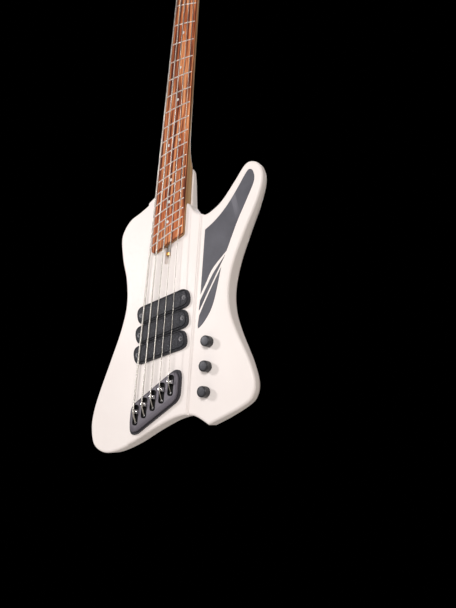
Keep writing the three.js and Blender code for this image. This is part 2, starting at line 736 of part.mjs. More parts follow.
// A pot's can with the threaded neck that passes up through the body.
function controlHousing(y) {
  const can = [
    [0, -12], [11, -12], [11, -2.6], [8, -1.2], [4, -1.2], [4, 5.4], [3.3, 5.4], [3.3, -3], [0, -3],
  ];
  return turned(can, KNOB_X, y, CAVITY_TOP, 12);
}

function controlCover() {
  const points = COVER_SHAPE.map((p) => new THREE.Vector2(...p)).reverse();
  const sign = THREE.ShapeUtils.isClockWise(points) ? -1 : 1;
  const outline = new THREE.Shape(insetOutline(points, 0.4 * sign));
  return slab(outline, BODY_BACK + 0.05, BODY_BACK + COVER_THICK);
}

// A neck bolt, its head let into the back.
function neckBolt([x, y]) {
  const r = NECK_BOLT_RADIUS;
  const profile = [[0, -3], [4, -3], [5.8, -1.6], [5.8, -GAP], [r, -GAP], [r, 32], [0, 33]];
  return turned(profile, x, y, BODY_BACK + 3.2, 12);
}

// Jack: a round plate in a seat square to the tail, and a hollow barrel open at its mouth.
function jackBarrel() {
  const profile = [[3.4, 0], [5, 0], [5, 31], [0, 31], [0, 29], [3.4, 29], [3.4, 0]];
  const barrel = new THREE.LatheGeometry(profile.map((p) => new THREE.Vector2(...p)), 12);
  return barrel.translate(JACK_X, JACK_SEAT_Y - 3.4, JACK_Z);
}

function jackPlate() {
  const profile = [[5.3, 0.3], [5.3, 2.2], [10.4, 2.2], [10.6, 1], [10, 0.3], [5.3, 0.3]];
  const plate = new THREE.LatheGeometry(profile.map((p) => new THREE.Vector2(p[0], -p[1])), 16);
  return plate.translate(JACK_X, JACK_SEAT_Y, JACK_Z);
}

function strapButton(button) {
  const profile = [
    [0, -1.6], [5, -1.6], [5, 1], [3.8, 3], [3.8, 7], [7, 9.4], [7, 11], [5.6, 11.8], [0, 11.8],
  ];
  return onButton(turned(profile, 0, 0, 0, 16), button);
}

// Holes that the neck needs: rod channel, wheel end, fixing screws and the five posts.
function neckCuts() {
  const cuts = [
    box(-TRUSS_RADIUS - GAP, TRUSS_RADIUS + GAP, -660, TRUSS_Y[1] + 1, TRUSS_Z - TRUSS_RADIUS - GAP, 0),
    box(-6, 6, -660, TRUSS_Y[0] + GAP + 0.2, -30, 0),
  ];
  for (const [x, y] of NECK_BOLTS) cuts.push(post(NECK_BOLT_RADIUS + GAP, x, y, -30, -9, 10));
  for (const { x, y } of TUNERS) cuts.push(post(4.9, x, y, -40, 0, 16));
  return cuts;
}

function build() {
  add("body", body(), paint);
  add("neck", cut(neck(), neckCuts()), maple);
  add("fretted_fingerboard", frettedBoard(), rosewood);
  add("nut", nutPiece(), bone);
  add("truss_rod", trussRod(), steel);
  add("truss_rod_wheel", trussWheel(), brass);
  add("horn_panel", hornPanel(0), slate);
  add("horn_strip_upper", hornStrip(0, 0), slate);
  add("horn_strip_lower", hornStrip(1, 0), slate);
  ["neck", "middle", "bridge"].forEach((name, k) => {
    add(`pickup_cover_${name}`, pickupCover(k), pickupPlastic);
    add(`pickup_coils_${name}`, coilPair(k), copper);
  });
  add("bridge_plate", bridgePlate(), anodised);
  STRING_NAMES.forEach((name, i) => {
    add(`saddle_${name}`, saddleBlock(i), chrome);
    add(`string_${name}`, stringPiece(i), nickel);
    add(`tuner_housing_${name}`, tunerHousing(TUNERS[i]), charcoal);
    add(`tuner_post_${name}`, tunerPost(TUNERS[i]), chrome);
    add(`tuner_key_${name}`, tunerKey(TUNERS[i]), charcoal);
  });
  ["volume", "selector", "tone"].forEach((name, k) => {
    add(`knob_${name}`, knob(KNOB_Y[k]), charcoal);
    add(`shaft_${name}`, controlShaft(KNOB_Y[k]), steel);
    add(`control_${name}`, controlHousing(KNOB_Y[k]), steel);
  });
  add("control_cover", controlCover(), blackPlastic);
  add("jack_socket", jackBarrel(), chrome);
  add("jack_plate", jackPlate(), charcoal);
  add("strap_button_tail", strapButton(STRAP_BUTTONS[0]), charcoal);
  add("strap_button_back", strapButton(STRAP_BUTTONS[1]), charcoal);
  NECK_BOLTS.forEach((place, k) => add(`neck_bolt_${k + 1}`, neckBolt(place), steel));
}

build();

instrument.rotation.x = Math.PI / 2;
instrument.position.set(0, HANGER_Z, -HANGER_Y);

const group = new THREE.Group();
group.add(instrument);
group.updateMatrixWorld(true);

export default group;
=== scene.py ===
# Five-string electric bass guitar with fanned frets, standing upright as it hangs by its headstock.
# The drawing frame is in millimetres: x across the strings with the treble side +, y up the neck
# and z out of the face. The nut's treble end is y = 0 and the fingerboard's top is z = 0.
import math

import bmesh
import bpy
import numpy as np
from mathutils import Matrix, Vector


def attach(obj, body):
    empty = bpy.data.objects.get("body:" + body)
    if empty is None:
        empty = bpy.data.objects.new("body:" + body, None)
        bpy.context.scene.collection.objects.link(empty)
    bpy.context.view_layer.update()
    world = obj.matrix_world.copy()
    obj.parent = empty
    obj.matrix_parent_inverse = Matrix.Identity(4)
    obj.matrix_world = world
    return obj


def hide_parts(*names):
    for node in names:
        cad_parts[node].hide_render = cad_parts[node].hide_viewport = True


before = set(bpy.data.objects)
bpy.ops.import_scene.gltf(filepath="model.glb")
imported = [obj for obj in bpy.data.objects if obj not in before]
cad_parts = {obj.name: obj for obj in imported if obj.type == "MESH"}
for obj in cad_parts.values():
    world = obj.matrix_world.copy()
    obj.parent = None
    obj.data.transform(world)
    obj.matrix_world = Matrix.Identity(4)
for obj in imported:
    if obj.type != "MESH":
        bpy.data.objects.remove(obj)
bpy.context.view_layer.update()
print("frame loaded:", len(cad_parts), "nodes")

hanger = {"y": 42.0, "z": -14.0}
camera = {
    "place": (0.57866, -0.67229, -0.93128),
    "turnDegrees": (100.834, -3.305, 32.995),
    "lens": 30.071,
    "sensor": 36.0,
}
studio = {
    "backdrop": (0.0, 0.0, 0.0),
    "softbox": (0.20, 0.185, 0.17),
    "floorRadius": 1.5,
    "floorSides": 96,
    "floorHeight": -1.9,
    "lights": [
        {"name": "key", "place": (-2.0, -2.0, -0.1), "aim": (0.02, 0.0, -0.72), "size": 0.36,
         "watts": 32.0, "colour": (1.0, 0.965, 0.955)},
        {"name": "front", "place": (1.1, -2.3, -0.1), "aim": (0.0, 0.0, -0.65), "size": 0.9,
         "watts": 50.0, "colour": (1.0, 0.965, 0.955)},
        {"name": "fill", "place": (2.4, -0.5, -1.0), "aim": (0.05, 0.0, -0.6), "size": 1.6,
         "watts": 3.6, "colour": (1.0, 0.78, 0.52)},
        {"name": "under", "place": (0.7, -0.4, -2.7), "aim": (0.05, 0.0, -0.9), "size": 1.4,
         "watts": 2.2, "colour": (1.0, 0.78, 0.50)},
        {"name": "back", "place": (-1.2, 2.4, 0.5), "aim": (0.0, 0.0, -0.5), "size": 1.4,
         "watts": 36.0, "colour": (0.97, 0.98, 1.0)},
    ],
}


def makeCamera():
    data = bpy.data.cameras.new("camera")
    data.lens = camera["lens"]
    data.sensor_width = camera["sensor"]
    data.clip_start = 0.01
    data.clip_end = 50.0
    eye = bpy.data.objects.new("camera", data)
    eye.location = camera["place"]
    eye.rotation_euler = [math.radians(a) for a in camera["turnDegrees"]]
    bpy.context.scene.collection.objects.link(eye)
    bpy.context.scene.camera = eye


def makeLights():
    for look in studio["lights"]:
        data = bpy.data.lights.new(look["name"], "AREA")
        data.shape = "DISK"
        data.size = look["size"]
        data.energy = look["watts"]
        data.color = look["colour"]
        lamp = bpy.data.objects.new(look["name"], data)
        lamp.location = look["place"]
        towards = Vector(look["aim"]) - Vector(look["place"])
        lamp.rotation_euler = towards.to_track_quat("-Z", "Y").to_euler()
        bpy.context.scene.collection.objects.link(lamp)
    world = bpy.data.worlds.new("studio")
    world.use_nodes = True
    # The room is a pale surround for the light, and a dark backdrop where it is seen itself.
    tree = world.node_tree
    around = tree.nodes["Background"]
    around.inputs["Color"].default_value = (*studio["softbox"], 1.0)
    behind = tree.nodes.new("ShaderNodeBackground")
    behind.inputs["Color"].default_value = (*studio["backdrop"], 1.0)
    seen = tree.nodes.new("ShaderNodeLightPath")
    pick = tree.nodes.new("ShaderNodeMixShader")
    tree.links.new(seen.outputs["Is Camera Ray"], pick.inputs["Fac"])
    tree.links.new(around.outputs["Background"], pick.inputs[1])
    tree.links.new(behind.outputs["Background"], pick.inputs[2])
    tree.links.new(pick.outputs["Shader"], tree.nodes["World Output"].inputs["Surface"])
    bpy.context.scene.world = world
    bpy.context.scene.view_settings.view_transform = "Standard"


makeCamera()
makeLights()
print("camera and lights placed")

# Materials. A look names its colours from dark to light, how its pattern is stretched, how large the
# pattern is (repeats per metre), the roughness it varies between, and its bump in millimetres.
# A look's edge colour is a painted highlight, laid where the surface turns sharply outwards.
looks = {
    "bodyPaint": {
        "colours": [(0.83, 0.775, 0.75), (0.865, 0.815, 0.79)], "stretch": (1, 1, 1), "scale": 9,
        "rough": (0.36, 0.46), "roughScale": 160, "bump": 0.02, "bumpScale": 700, "specular": 0.32,
        "edge": (0.90, 0.86, 0.84),
    },
    "mapleNeck": {
        "colours": [(0.36, 0.20, 0.085), (0.47, 0.285, 0.135), (0.55, 0.36, 0.19)],
        "stretch": (1, 1, 0.05), "scale": 190, "rough": (0.34, 0.5), "roughScale": 420,
        "bump": 0.03, "bumpScale": 900, "coat": 0.1,
    },
    "fingerboard": {
        "colours": [(0.070, 0.016, 0.009), (0.20, 0.052, 0.022), (0.42, 0.130, 0.050),
                    (0.62, 0.235, 0.095), (0.72, 0.34, 0.16)],
        "stretch": (1, 1, 0.03), "scale": 250, "rough": (0.46, 0.64), "roughScale": 900,
        "bump": 0.06, "bumpScale": 1300, "pores": 0.6, "specular": 0.16, "spread": (0.40, 0.62),
    },
    "nutBlack": {
        "colours": [(0.012, 0.012, 0.013), (0.022, 0.021, 0.021)], "scale": 300,
        "rough": (0.35, 0.5), "roughScale": 700, "bump": 0.015, "bumpScale": 1500,
    },
    "fretNickel": {
        "colours": [(0.74, 0.72, 0.69), (0.88, 0.86, 0.83)], "stretch": (0.1, 1, 1), "scale": 500,
        "rough": (0.34, 0.46), "roughScale": 1500, "bump": 0.004, "bumpScale": 3000, "metal": 0.7,
    },
    "stringNickel": {
        "colours": [(0.55, 0.53, 0.49), (0.70, 0.68, 0.64)], "scale": 90,
        "rough": (0.24, 0.40), "roughScale": 1800, "metal": 1.0, "winding": 0.00045,
    },
    "chrome": {
        "colours": [(0.66, 0.66, 0.67), (0.78, 0.78, 0.79)], "scale": 140,
        "rough": (0.10, 0.24), "roughScale": 900, "bump": 0.004, "bumpScale": 2600, "metal": 1.0,
    },
    "steel": {
        "colours": [(0.36, 0.36, 0.37), (0.48, 0.48, 0.49)], "stretch": (1, 0.2, 1), "scale": 500,
        "rough": (0.25, 0.42), "roughScale": 1200, "bump": 0.006, "bumpScale": 2600, "metal": 1.0,
    },
    "brass": {
        "colours": [(0.42, 0.22, 0.055), (0.60, 0.36, 0.12)], "stretch": (1, 1, 0.2), "scale": 380,
        "rough": (0.24, 0.42), "roughScale": 1300, "bump": 0.006, "bumpScale": 2600, "metal": 1.0,
    },
    "trimSlate": {
        "colours": [(0.070, 0.071, 0.086), (0.098, 0.099, 0.118)], "scale": 24,
        "rough": (0.46, 0.58), "roughScale": 500, "bump": 0.01, "bumpScale": 1700,
        "edge": (0.20, 0.20, 0.23), "specular": 0.3,
    },
    "pickupPlastic": {
        "colours": [(0.007, 0.008, 0.011), (0.012, 0.013, 0.018), (0.034, 0.036, 0.046),
                    (0.15, 0.155, 0.18)],
        "stretch": (0.22, 1, 1), "scale": 1100, "rough": (0.44, 0.60), "roughScale": 900,
        "bump": 0.03, "bumpScale": 2400, "edge": (0.16, 0.16, 0.18), "specular": 0.22,
        "spread": (0.38, 0.72),
    },
    # The pickup screw seats: the cover's black plastic painted pale grey, as a painted highlight.
    "pickupSeatPaintedHighlight": {
        "colours": [(0.20, 0.20, 0.22), (0.30, 0.30, 0.32)], "scale": 800,
        "rough": (0.35, 0.5), "roughScale": 900, "bump": 0.01, "bumpScale": 2400,
    },
    "coilCopper": {
        "colours": [(0.30, 0.10, 0.04), (0.44, 0.17, 0.07)], "stretch": (1, 0.05, 1), "scale": 900,
        "rough": (0.35, 0.5), "roughScale": 800, "metal": 0.6,
    },
    "bridgeAnodised": {
        "colours": [(0.092, 0.084, 0.102), (0.130, 0.120, 0.142)], "stretch": (1, 1, 1),
        "scale": 1400, "rough": (0.40, 0.50), "roughScale": 1600, "bump": 0.008,
        "bumpScale": 3200, "metal": 0.35, "edge": (0.42, 0.40, 0.45), "specular": 0.35,
    },
    # The bridge foot: the plate's anodised metal painted darker, as painted shade on its side.
    "bridgeFootPaintedShade": {
        "colours": [(0.030, 0.029, 0.035), (0.050, 0.048, 0.058)], "scale": 1400,
        "rough": (0.40, 0.50), "roughScale": 1600, "bump": 0.008, "bumpScale": 3200, "metal": 0.35,
        "specular": 0.3,
    },
    # Painted shade: the cut faces of the bridge slots and the pickup grooves are drawn near black.
    "recessPaintedShade": {
        "colours": [(0.004, 0.004, 0.005), (0.010, 0.010, 0.011)], "scale": 500,
        "rough": (0.55, 0.75), "roughScale": 900, "bump": 0.01, "bumpScale": 1800,
    },
    "blackHardware": {
        "colours": [(0.016, 0.0165, 0.019), (0.030, 0.031, 0.035)], "scale": 420,
        "rough": (0.26, 0.42), "roughScale": 1100, "bump": 0.006, "bumpScale": 2400,
        "metal": 0.35, "edge": (0.12, 0.12, 0.13),
    },
    "knobCap": {
        "colours": [(0.050, 0.052, 0.060), (0.082, 0.084, 0.095)], "scale": 900,
        "rough": (0.30, 0.46), "roughScale": 1500, "bump": 0.006, "bumpScale": 3000, "metal": 0.4,
    },
    "coverPlastic": {
        "colours": [(0.014, 0.014, 0.015), (0.024, 0.024, 0.025)], "scale": 60,
        "rough": (0.42, 0.60), "roughScale": 900, "bump": 0.03, "bumpScale": 1600,
        "edge": (0.07, 0.07, 0.075),
    },
    "pearl": {
        "colours": [(0.62, 0.64, 0.66), (0.80, 0.79, 0.77), (0.86, 0.84, 0.80)], "scale": 420,
        "rough": (0.16, 0.28), "roughScale": 600, "coat": 0.4,
    },
    "floor": {
        "colours": [(0.66, 0.64, 0.61), (0.72, 0.70, 0.67)], "scale": 3,
        "rough": (0.7, 0.8), "roughScale": 20,
    },
}


def addNoise(tree, vector, scale, detail=3.0, distortion=0.0):
    noise = tree.nodes.new("ShaderNodeTexNoise")
    noise.inputs["Scale"].default_value = scale
    noise.inputs["Detail"].default_value = detail
    noise.inputs["Distortion"].default_value = distortion
    tree.links.new(vector, noise.inputs["Vector"])
    return noise.outputs["Fac"]


def addRamp(tree, value, colours, low=0.32, high=0.68):
    ramp = tree.nodes.new("ShaderNodeValToRGB")
    stops = np.linspace(low, high, len(colours))
    while len(ramp.color_ramp.elements) < len(colours):
        ramp.color_ramp.elements.new(0.5)
    for element, stop, colour in zip(ramp.color_ramp.elements, stops, colours):
        element.position = stop
        element.color = (*colour, 1.0)
    tree.links.new(value, ramp.inputs["Fac"])
    return ramp.outputs["Color"]


def addRange(tree, value, low, high, fromLow=0.3, fromHigh=0.7):
    stretch = tree.nodes.new("ShaderNodeMapRange")
    stretch.inputs["From Min"].default_value = fromLow
    stretch.inputs["From Max"].default_value = fromHigh
    stretch.inputs["To Min"].default_value = low
    stretch.inputs["To Max"].default_value = high
    tree.links.new(value, stretch.inputs["Value"])
    return stretch.outputs["Result"]


def addMix(tree, amount, first, second, blend="MIX"):
    mix = tree.nodes.new("ShaderNodeMix")
    mix.data_type = "RGBA"
    mix.blend_type = blend
    for value, socket in ((amount, mix.inputs[0]), (first, mix.inputs[6]), (second, mix.inputs[7])):
        if isinstance(value, bpy.types.NodeSocket):
            tree.links.new(value, socket)
        else:
            socket.default_value = value if isinstance(value, float) else (*value, 1.0)
    return mix.outputs[2]


def makeMaterial(name, look):
    material = bpy.data.materials.new(name)
    material.use_nodes = True
    tree = material.node_tree
    shader = tree.nodes["Principled BSDF"]
    where = tree.nodes.new("ShaderNodeTexCoord").outputs["Object"]
    turn = tree.nodes.new("ShaderNodeMapping")
    turn.inputs["Scale"].default_value = look.get("stretch", (1, 1, 1))
    tree.links.new(where, turn.inputs["Vector"])
    grain = turn.outputs["Vector"]
    pattern = addNoise(tree, grain, look["scale"], 5.0, 0.35)
    colour = addRamp(tree, pattern, look["colours"], *look.get("spread", (0.32, 0.68)))
    if "pores" in look:  # short dark pores along the grain, and a slow drift of the tone
        fine = addNoise(tree, grain, look["scale"] * 6, 2.0)
        pores = addRange(tree, fine, 0.0, look["pores"], 0.56, 0.7)
        colour = addMix(tree, pores, colour, look["colours"][0])
        drift = addRange(tree, addNoise(tree, where, 7.0, 2.0), 0.0, 0.35, 0.4, 0.65)
        colour = addMix(tree, drift, colour, look["colours"][-1], "SOFT_LIGHT")
    if "edge" in look:  # painted highlight: edges drawn lighter, where the surface turns sharply outwards
        edges = tree.nodes.new("ShaderNodeNewGeometry").outputs["Pointiness"]
        paintedEdgeHighlight = addRange(tree, edges, 0.0, 0.55, 0.52, 0.62)
        colour = addMix(tree, paintedEdgeHighlight, colour, look["edge"])
    tree.links.new(colour, shader.inputs["Base Color"])
    rough = addNoise(tree, where, look["roughScale"], 3.0)
    tree.links.new(addRange(tree, rough, *look["rough"]), shader.inputs["Roughness"])
    shader.inputs["Metallic"].default_value = look.get("metal", 0.0)
    shader.inputs["Coat Weight"].default_value = look.get("coat", 0.0)
    shader.inputs["Specular IOR Level"].default_value = look.get("specular", 0.5)
    if "bump" in look:
        bump = tree.nodes.new("ShaderNodeBump")
        bump.inputs["Distance"].default_value = look["bump"] / 1000.0
        tree.links.new(addNoise(tree, grain, look["bumpScale"], 2.0), bump.inputs["Height"])
        tree.links.new(bump.outputs["Normal"], shader.inputs["Normal"])
    if "winding" in look:  # the wound wire: ridges at that pitch along the piece's own UV map
        uv = tree.nodes.new("ShaderNodeUVMap")
        uv.uv_map = "along"
        wave = tree.nodes.new("ShaderNodeTexWave")
        wave.bands_direction = "Y"
        wave.inputs["Scale"].default_value = 0.314 / look["winding"]
        tree.links.new(uv.outputs["UV"], wave.inputs["Vector"])
        bump = tree.nodes.new("ShaderNodeBump")
        bump.inputs["Distance"].default_value = 0.00006
        tree.links.new(wave.outputs["Fac"], bump.inputs["Height"])
        tree.links.new(bump.outputs["Normal"], shader.inputs["Normal"])
    return material


materials = {name: makeMaterial(name, look) for name, look in looks.items()}
print("materials made:", len(materials))


# A part is a pair: points as an array of x, y, z in the drawing frame, and faces as lists of indices.
def toWorld(points):
    # x stays, y becomes up and z comes out of the face towards -Y, in metres from the hanger.
    p = np.asarray(points, float)
    return np.stack([p[..., 0], hanger["z"] - p[..., 2], p[..., 1] - hanger["y"]], -1) / 1000.0


def makeObject(name, part, material):
    points, faces = part
    mesh = bpy.data.meshes.new(name)
    mesh.from_pydata(toWorld(points).tolist(), [], faces)
    shell = bmesh.new()
    shell.from_mesh(mesh)
    if shell.calc_volume(signed=True) < 0:
        bmesh.ops.reverse_faces(shell, faces=shell.faces)
    shell.to_mesh(mesh)
    shell.free()
    mesh.materials.append(materials[material])
    piece = bpy.data.objects.new(name, mesh)
    bpy.context.scene.collection.objects.link(piece)
    return piece


def finishPiece(piece, body="root", nodes=(), sharp=35.0, bevel=None):
    mesh = piece.data
    mesh.polygons.foreach_set("use_smooth", np.ones(len(mesh.polygons), bool))
    mesh.set_sharp_from_angle(angle=math.radians(sharp))
    if bevel:
        rounding = piece.modifiers.new("rounding", "BEVEL")
        rounding.width = bevel / 1000.0
        rounding.segments = 3
        rounding.limit_method = "ANGLE"
        rounding.angle_limit = math.radians(sharp)
        rounding.harden_normals = False
    weighted = piece.modifiers.new("weighted", "WEIGHTED_NORMAL")
    weighted.keep_sharp = not bevel
    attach(piece, body)
    if nodes:
        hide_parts(*nodes)
    return piece


def addPiece(name, part, material, body="root", nodes=(), sharp=35.0, bevel=None):
    return finishPiece(makeObject(name, part, material), body, nodes, sharp, bevel)


sliver = 2e-5  # metres


def carve(piece, tools, operation="DIFFERENCE"):
    # Joins the tools to the piece, or cuts them from it; a cut face keeps its tool's material.
    for k, tool in enumerate(tools):
        step = piece.modifiers.new(f"step{k}", "BOOLEAN")
        step.operation = operation
        step.object = tool
        step.solver = "MANIFOLD"
        step.material_mode = "TRANSFER"
    bpy.context.view_layer.update()
    worked = piece.evaluated_get(bpy.context.evaluated_depsgraph_get())
    mesh = bpy.data.meshes.new_from_object(worked)
    # Slivers left on the flat faces are closed up, or they would shade as a seam.
    shell = bmesh.new()
    shell.from_mesh(mesh)
    bmesh.ops.remove_doubles(shell, dist=sliver, verts=shell.verts)
    bmesh.ops.dissolve_degenerate(shell, dist=sliver, edges=shell.edges)
    shell.to_mesh(mesh)
    shell.free()
    piece.modifiers.clear()
    piece.data = mesh
    for tool in tools:
        bpy.data.objects.remove(tool)
    return piece


def ringStack(rings):
    # Rings of equal length in rows, for one shell or several: quads join neighbouring rows, and a
    # face closes each end.
    rings = rings.reshape((-1,) + rings.shape[-3:])
    shells, rows, columns = rings.shape[:3]
    r, c = np.meshgrid(np.arange(rows - 1), np.arange(columns), indexing="ij")
    a = (r * columns + c).ravel()
    b = (r * columns + (c + 1) % columns).ravel()
    quads = np.stack([a, b, b + columns, a + columns], -1)
    first = np.arange(shells) * rows * columns
    ends = np.arange(columns)
    faces = (first[:, None, None] + quads).reshape(-1, 4).tolist()
    faces += (first[:, None] + ends[::-1]).tolist()
    faces += (first[:, None] + ends + (rows - 1) * columns).tolist()
    return rings.reshape(-1, 3), faces


def turned(profile, sides=48, flutes=None):
    # Each (radius, height) of the profile goes once round the z axis. flutes = (count, depth, rows)
    # adds depth * cos(count * angle) to the radius of the rows it names.
    p = np.asarray(profile, float)
    a = np.linspace(0, 2 * np.pi, sides, endpoint=False)
    radius = np.broadcast_to(p[:, :1], (len(p), sides)).copy()
    if flutes:
        count, depth, rows = flutes
        radius[list(rows)] += depth * np.cos(count * a)
    height = np.broadcast_to(p[:, 1:], radius.shape)
    return ringStack(np.stack([radius * np.cos(a), radius * np.sin(a), height], -1))


def turnedLoop(profile, sides=48):
    # A closed profile carried round the z axis, so the last row joins the first: a ring or washer.
    points, _ = turned(profile, sides)
    rows = len(profile)
    r, c = np.meshgrid(np.arange(rows), np.arange(sides), indexing="ij")
    up = (r + 1) % rows * sides
    on = (c + 1) % sides
    faces = np.stack([r * sides + c, r * sides + on, up + on, up + c], -1).reshape(-1, 4).tolist()
    return points, faces


def standOn(part, place, axis=(0, 0, 1)):
    # The part's z axis is laid along the given direction, and its origin moved to the place.
    w = np.asarray(axis, float) / np.linalg.norm(axis)
    u = np.cross((0.0, 1.0, 0.0) if abs(w[1]) < 0.9 else (0.0, 0.0, 1.0), w)
    u /= np.linalg.norm(u)
    turn = np.stack([u, np.cross(w, u), w])
    return part[0] @ turn + np.asarray(place, float), part[1]


def joined(parts):
    points = np.concatenate([p for p, _ in parts])
    starts = np.cumsum([0] + [len(p) for p, _ in parts])
    faces = [[i + first for i in face] for (_, part), first in zip(parts, starts) for face in part]
    return points, faces


def curveThrough(points, per=10):
    # A cubic between each two points, its end slopes half of the chord between their neighbours.
    p = np.asarray(points, float)
    q = np.vstack([p[:1], p, p[-1:]])
    a, b, c, d = q[:-3, None], q[1:-2, None], q[2:-1, None], q[3:, None]
    t = np.linspace(0, 1, per, endpoint=False)[None, :, None]
    v, w = (c - a) / 2, (d - b) / 2
    curve = (2 * b - 2 * c + v + w) * t**3 + (3 * c - 3 * b - 2 * v - w) * t**2 + v * t + b
    return np.vstack([curve.reshape(-1, p.shape[1]), p[-1:]])


def respaced(points, step):
    # The same open line with its points a step apart, measured along it.
    p = np.asarray(points, float)
    run = np.concatenate([[0.0], np.cumsum(np.linalg.norm(np.diff(p, axis=0), axis=1))])
    at = np.linspace(0, run[-1], max(2, int(round(run[-1] / step)) + 1))
    return np.stack([np.interp(at, run, p[:, k]) for k in range(p.shape[1])], -1)


def bend(start, corner, end, steps=8):
    # A quadratic curve from start to end that heads for the corner.
    t = np.linspace(0, 1, steps + 1)[:, None]
    a, b, c = (np.asarray(p, float) for p in (start, corner, end))
    return (1 - t) ** 2 * a + 2 * t * (1 - t) * b + t**2 * c


def roundedOutline(corners, reach, steps=8):
    # A polygon whose corners are bends that begin and end a reach away from them.
    p = np.asarray(corners, float)
    reaches = np.broadcast_to(reach, len(p))
    before = np.roll(p, 1, axis=0) - p
    after = np.roll(p, -1, axis=0) - p
    before *= (reaches / np.linalg.norm(before, axis=1))[:, None]
    after *= (reaches / np.linalg.norm(after, axis=1))[:, None]
    return np.vstack([bend(c + b, c, c + a, steps) for c, b, a in zip(p, before, after)])


def isAnticlockwise(ring):
    nxt = np.roll(ring, -1, axis=0)
    return (ring[:, 0] * nxt[:, 1] - ring[:, 1] * nxt[:, 0]).sum() > 0


def inward(ring):
    # The direction into an anticlockwise outline at each point, as long as a mitre needs.
    step = np.roll(ring, -1, axis=0) - ring
    step /= np.maximum(np.linalg.norm(step, axis=1), 1e-9)[:, None]
    after = np.stack([-step[:, 1], step[:, 0]], -1)
    before = np.roll(after, 1, axis=0)
    return (before + after) / np.maximum(1 + (before * after).sum(1), 0.5)[:, None]


def slab(ring, bottom, top, under=0.0, over=0.0, steps=5):
    # The outline stacked from bottom to top; at either face it draws in along a quarter circle.
    ring = ring if isAnticlockwise(ring) else ring[::-1]
    quarter = np.linspace(0, np.pi / 2, steps + 1)
    rows = [(0.0, bottom)] if under == 0 else [
        (under * (1 - math.sin(t)), bottom + under * (1 - math.cos(t))) for t in quarter]
    rows += [(0.0, top)] if over == 0 else [
        (over * (1 - math.sin(t)), top - over * (1 - math.cos(t))) for t in quarter[::-1]]
    inset, level = np.array(rows).T
    flat = ring[None] + inward(ring)[None] * inset[:, None, None]
    height = np.broadcast_to(level[:, None, None], flat.shape[:2] + (1,))
    return ringStack(np.concatenate([flat, height], -1))


def box(x0, x1, y0, y1, z0, z1):
    return slab(np.array([[x0, y0], [x1, y0], [x1, y1], [x0, y1]], float), z0, z1)


def tube(path, radius, sides=12):
    # A circle carried along the path, square to it, with the radius given at each point.
    p = np.asarray(path, float)
    along = np.gradient(p, axis=0)
    along /= np.linalg.norm(along, axis=1)[:, None]
    side = np.array([1.0, 0.0, 0.0]) - along * along[:, :1]
    flat = np.linalg.norm(side, axis=1) < 0.35
    side[flat] = np.cross(along[flat], [0.0, 0.0, 1.0])
    side /= np.linalg.norm(side, axis=1)[:, None]
    up = np.cross(along, side)
    a = np.linspace(0, 2 * np.pi, sides, endpoint=False)[None, :, None]
    r = np.broadcast_to(radius, len(p))[:, None, None]
    return ringStack(p[:, None] + r * (side[:, None] * np.cos(a) + up[:, None] * np.sin(a)))


screwLook = {"sides": 48, "edge": 0.25, "socketShare": 0.5, "socketDepth": 1.2}


def screwHead(radius, height, cross=False, depth=None, dome=0.0):
    # A head from the axis out: round rows outside, and inside them the rows of a hexagonal or
    # cross-shaped socket. Its face is z = 0, and a dome lifts the middle of the face.
    sides = screwLook["sides"]
    a = np.linspace(0, 2 * np.pi, sides, endpoint=False)
    c, s = np.maximum(np.abs(np.cos(a)), 1e-6), np.maximum(np.abs(np.sin(a)), 1e-6)
    wide, long = radius * 0.16, radius * 0.6
    if cross:
        socket = np.maximum(np.minimum(long / c, wide / s), np.minimum(long / s, wide / c))
    else:
        reach = radius * screwLook["socketShare"]
        socket = reach * math.cos(np.pi / 6) / np.cos(a % (np.pi / 3) - np.pi / 6)
    deep = depth or screwLook["socketDepth"]
    edge = screwLook["edge"]
    full = np.ones(sides)
    rows = [(full * radius * 0.7, -height), (full * radius, -height * 0.5), (full * radius, -edge),
            (full * (radius - edge), 0.0), (full * radius * 0.75, dome * 0.6), (socket, dome),
            (socket * 0.94, dome - deep)]
    rings = np.stack([np.stack([r * np.cos(a), r * np.sin(a), full * z], -1) for r, z in rows])
    return ringStack(rings)


# Strings, frets and the outline of the board that they share.
strings = {
    "names": ["low_b", "e", "a", "d", "g"],
    "radii": [1.6, 1.3, 1.05, 0.8, 0.6],
    "scaleBass": 939.8, "scaleTreble": 863.6, "nutBassY": 23.7,
    "nutSpread": 38.0, "bridgeSpread": 72.0, "nutZ": 2.1, "saddleZ": 5.7,
}
board = {
    "halfAtNut": 23.2, "taper": 0.0178, "radius": 290.0, "underside": -6.0, "pastLastFret": 16.0,
    "edge": 0.7, "bassCorner": 11.0, "trebleCorner": 4.0, "nutLength": 5.6,
}
frets = {"count": 20, "width": 2.2, "height": 1.2, "seat": 0.4, "inset": 0.6}

share = np.linspace(0, 1, len(strings["names"]))
level = np.ones(len(share))
nutPoints = np.stack([(share - 0.5) * strings["nutSpread"], strings["nutBassY"] * (1 - share),
                      level * strings["nutZ"]], -1)
saddlePoints = np.stack([(share - 0.5) * strings["bridgeSpread"],
                         (strings["nutBassY"] - strings["scaleBass"]) * (1 - share)
                         - strings["scaleTreble"] * share, level * strings["saddleZ"]], -1)


def crossLine(along):
    # The line across the outer strings at one share of their length: its y at x = 0, its slope.
    along = np.asarray(along, float)[..., None]
    a = nutPoints[0] + (saddlePoints[0] - nutPoints[0]) * along
    b = nutPoints[-1] + (saddlePoints[-1] - nutPoints[-1]) * along
    slope = (b[..., 1] - a[..., 1]) / (b[..., 0] - a[..., 0])
    return a[..., 1] - slope * a[..., 0], slope


def fretAlong(n):
    return 1 - 2.0 ** (-np.asarray(n, float) / 12)


lineTable = crossLine(np.linspace(-0.06, 0.95, 300))
nutY, nutSlope = (float(v) for v in crossLine(0.0))
lastFretY, endSlope = (float(v) for v in crossLine(fretAlong(frets["count"])))
endY = lastFretY - board["pastLastFret"]


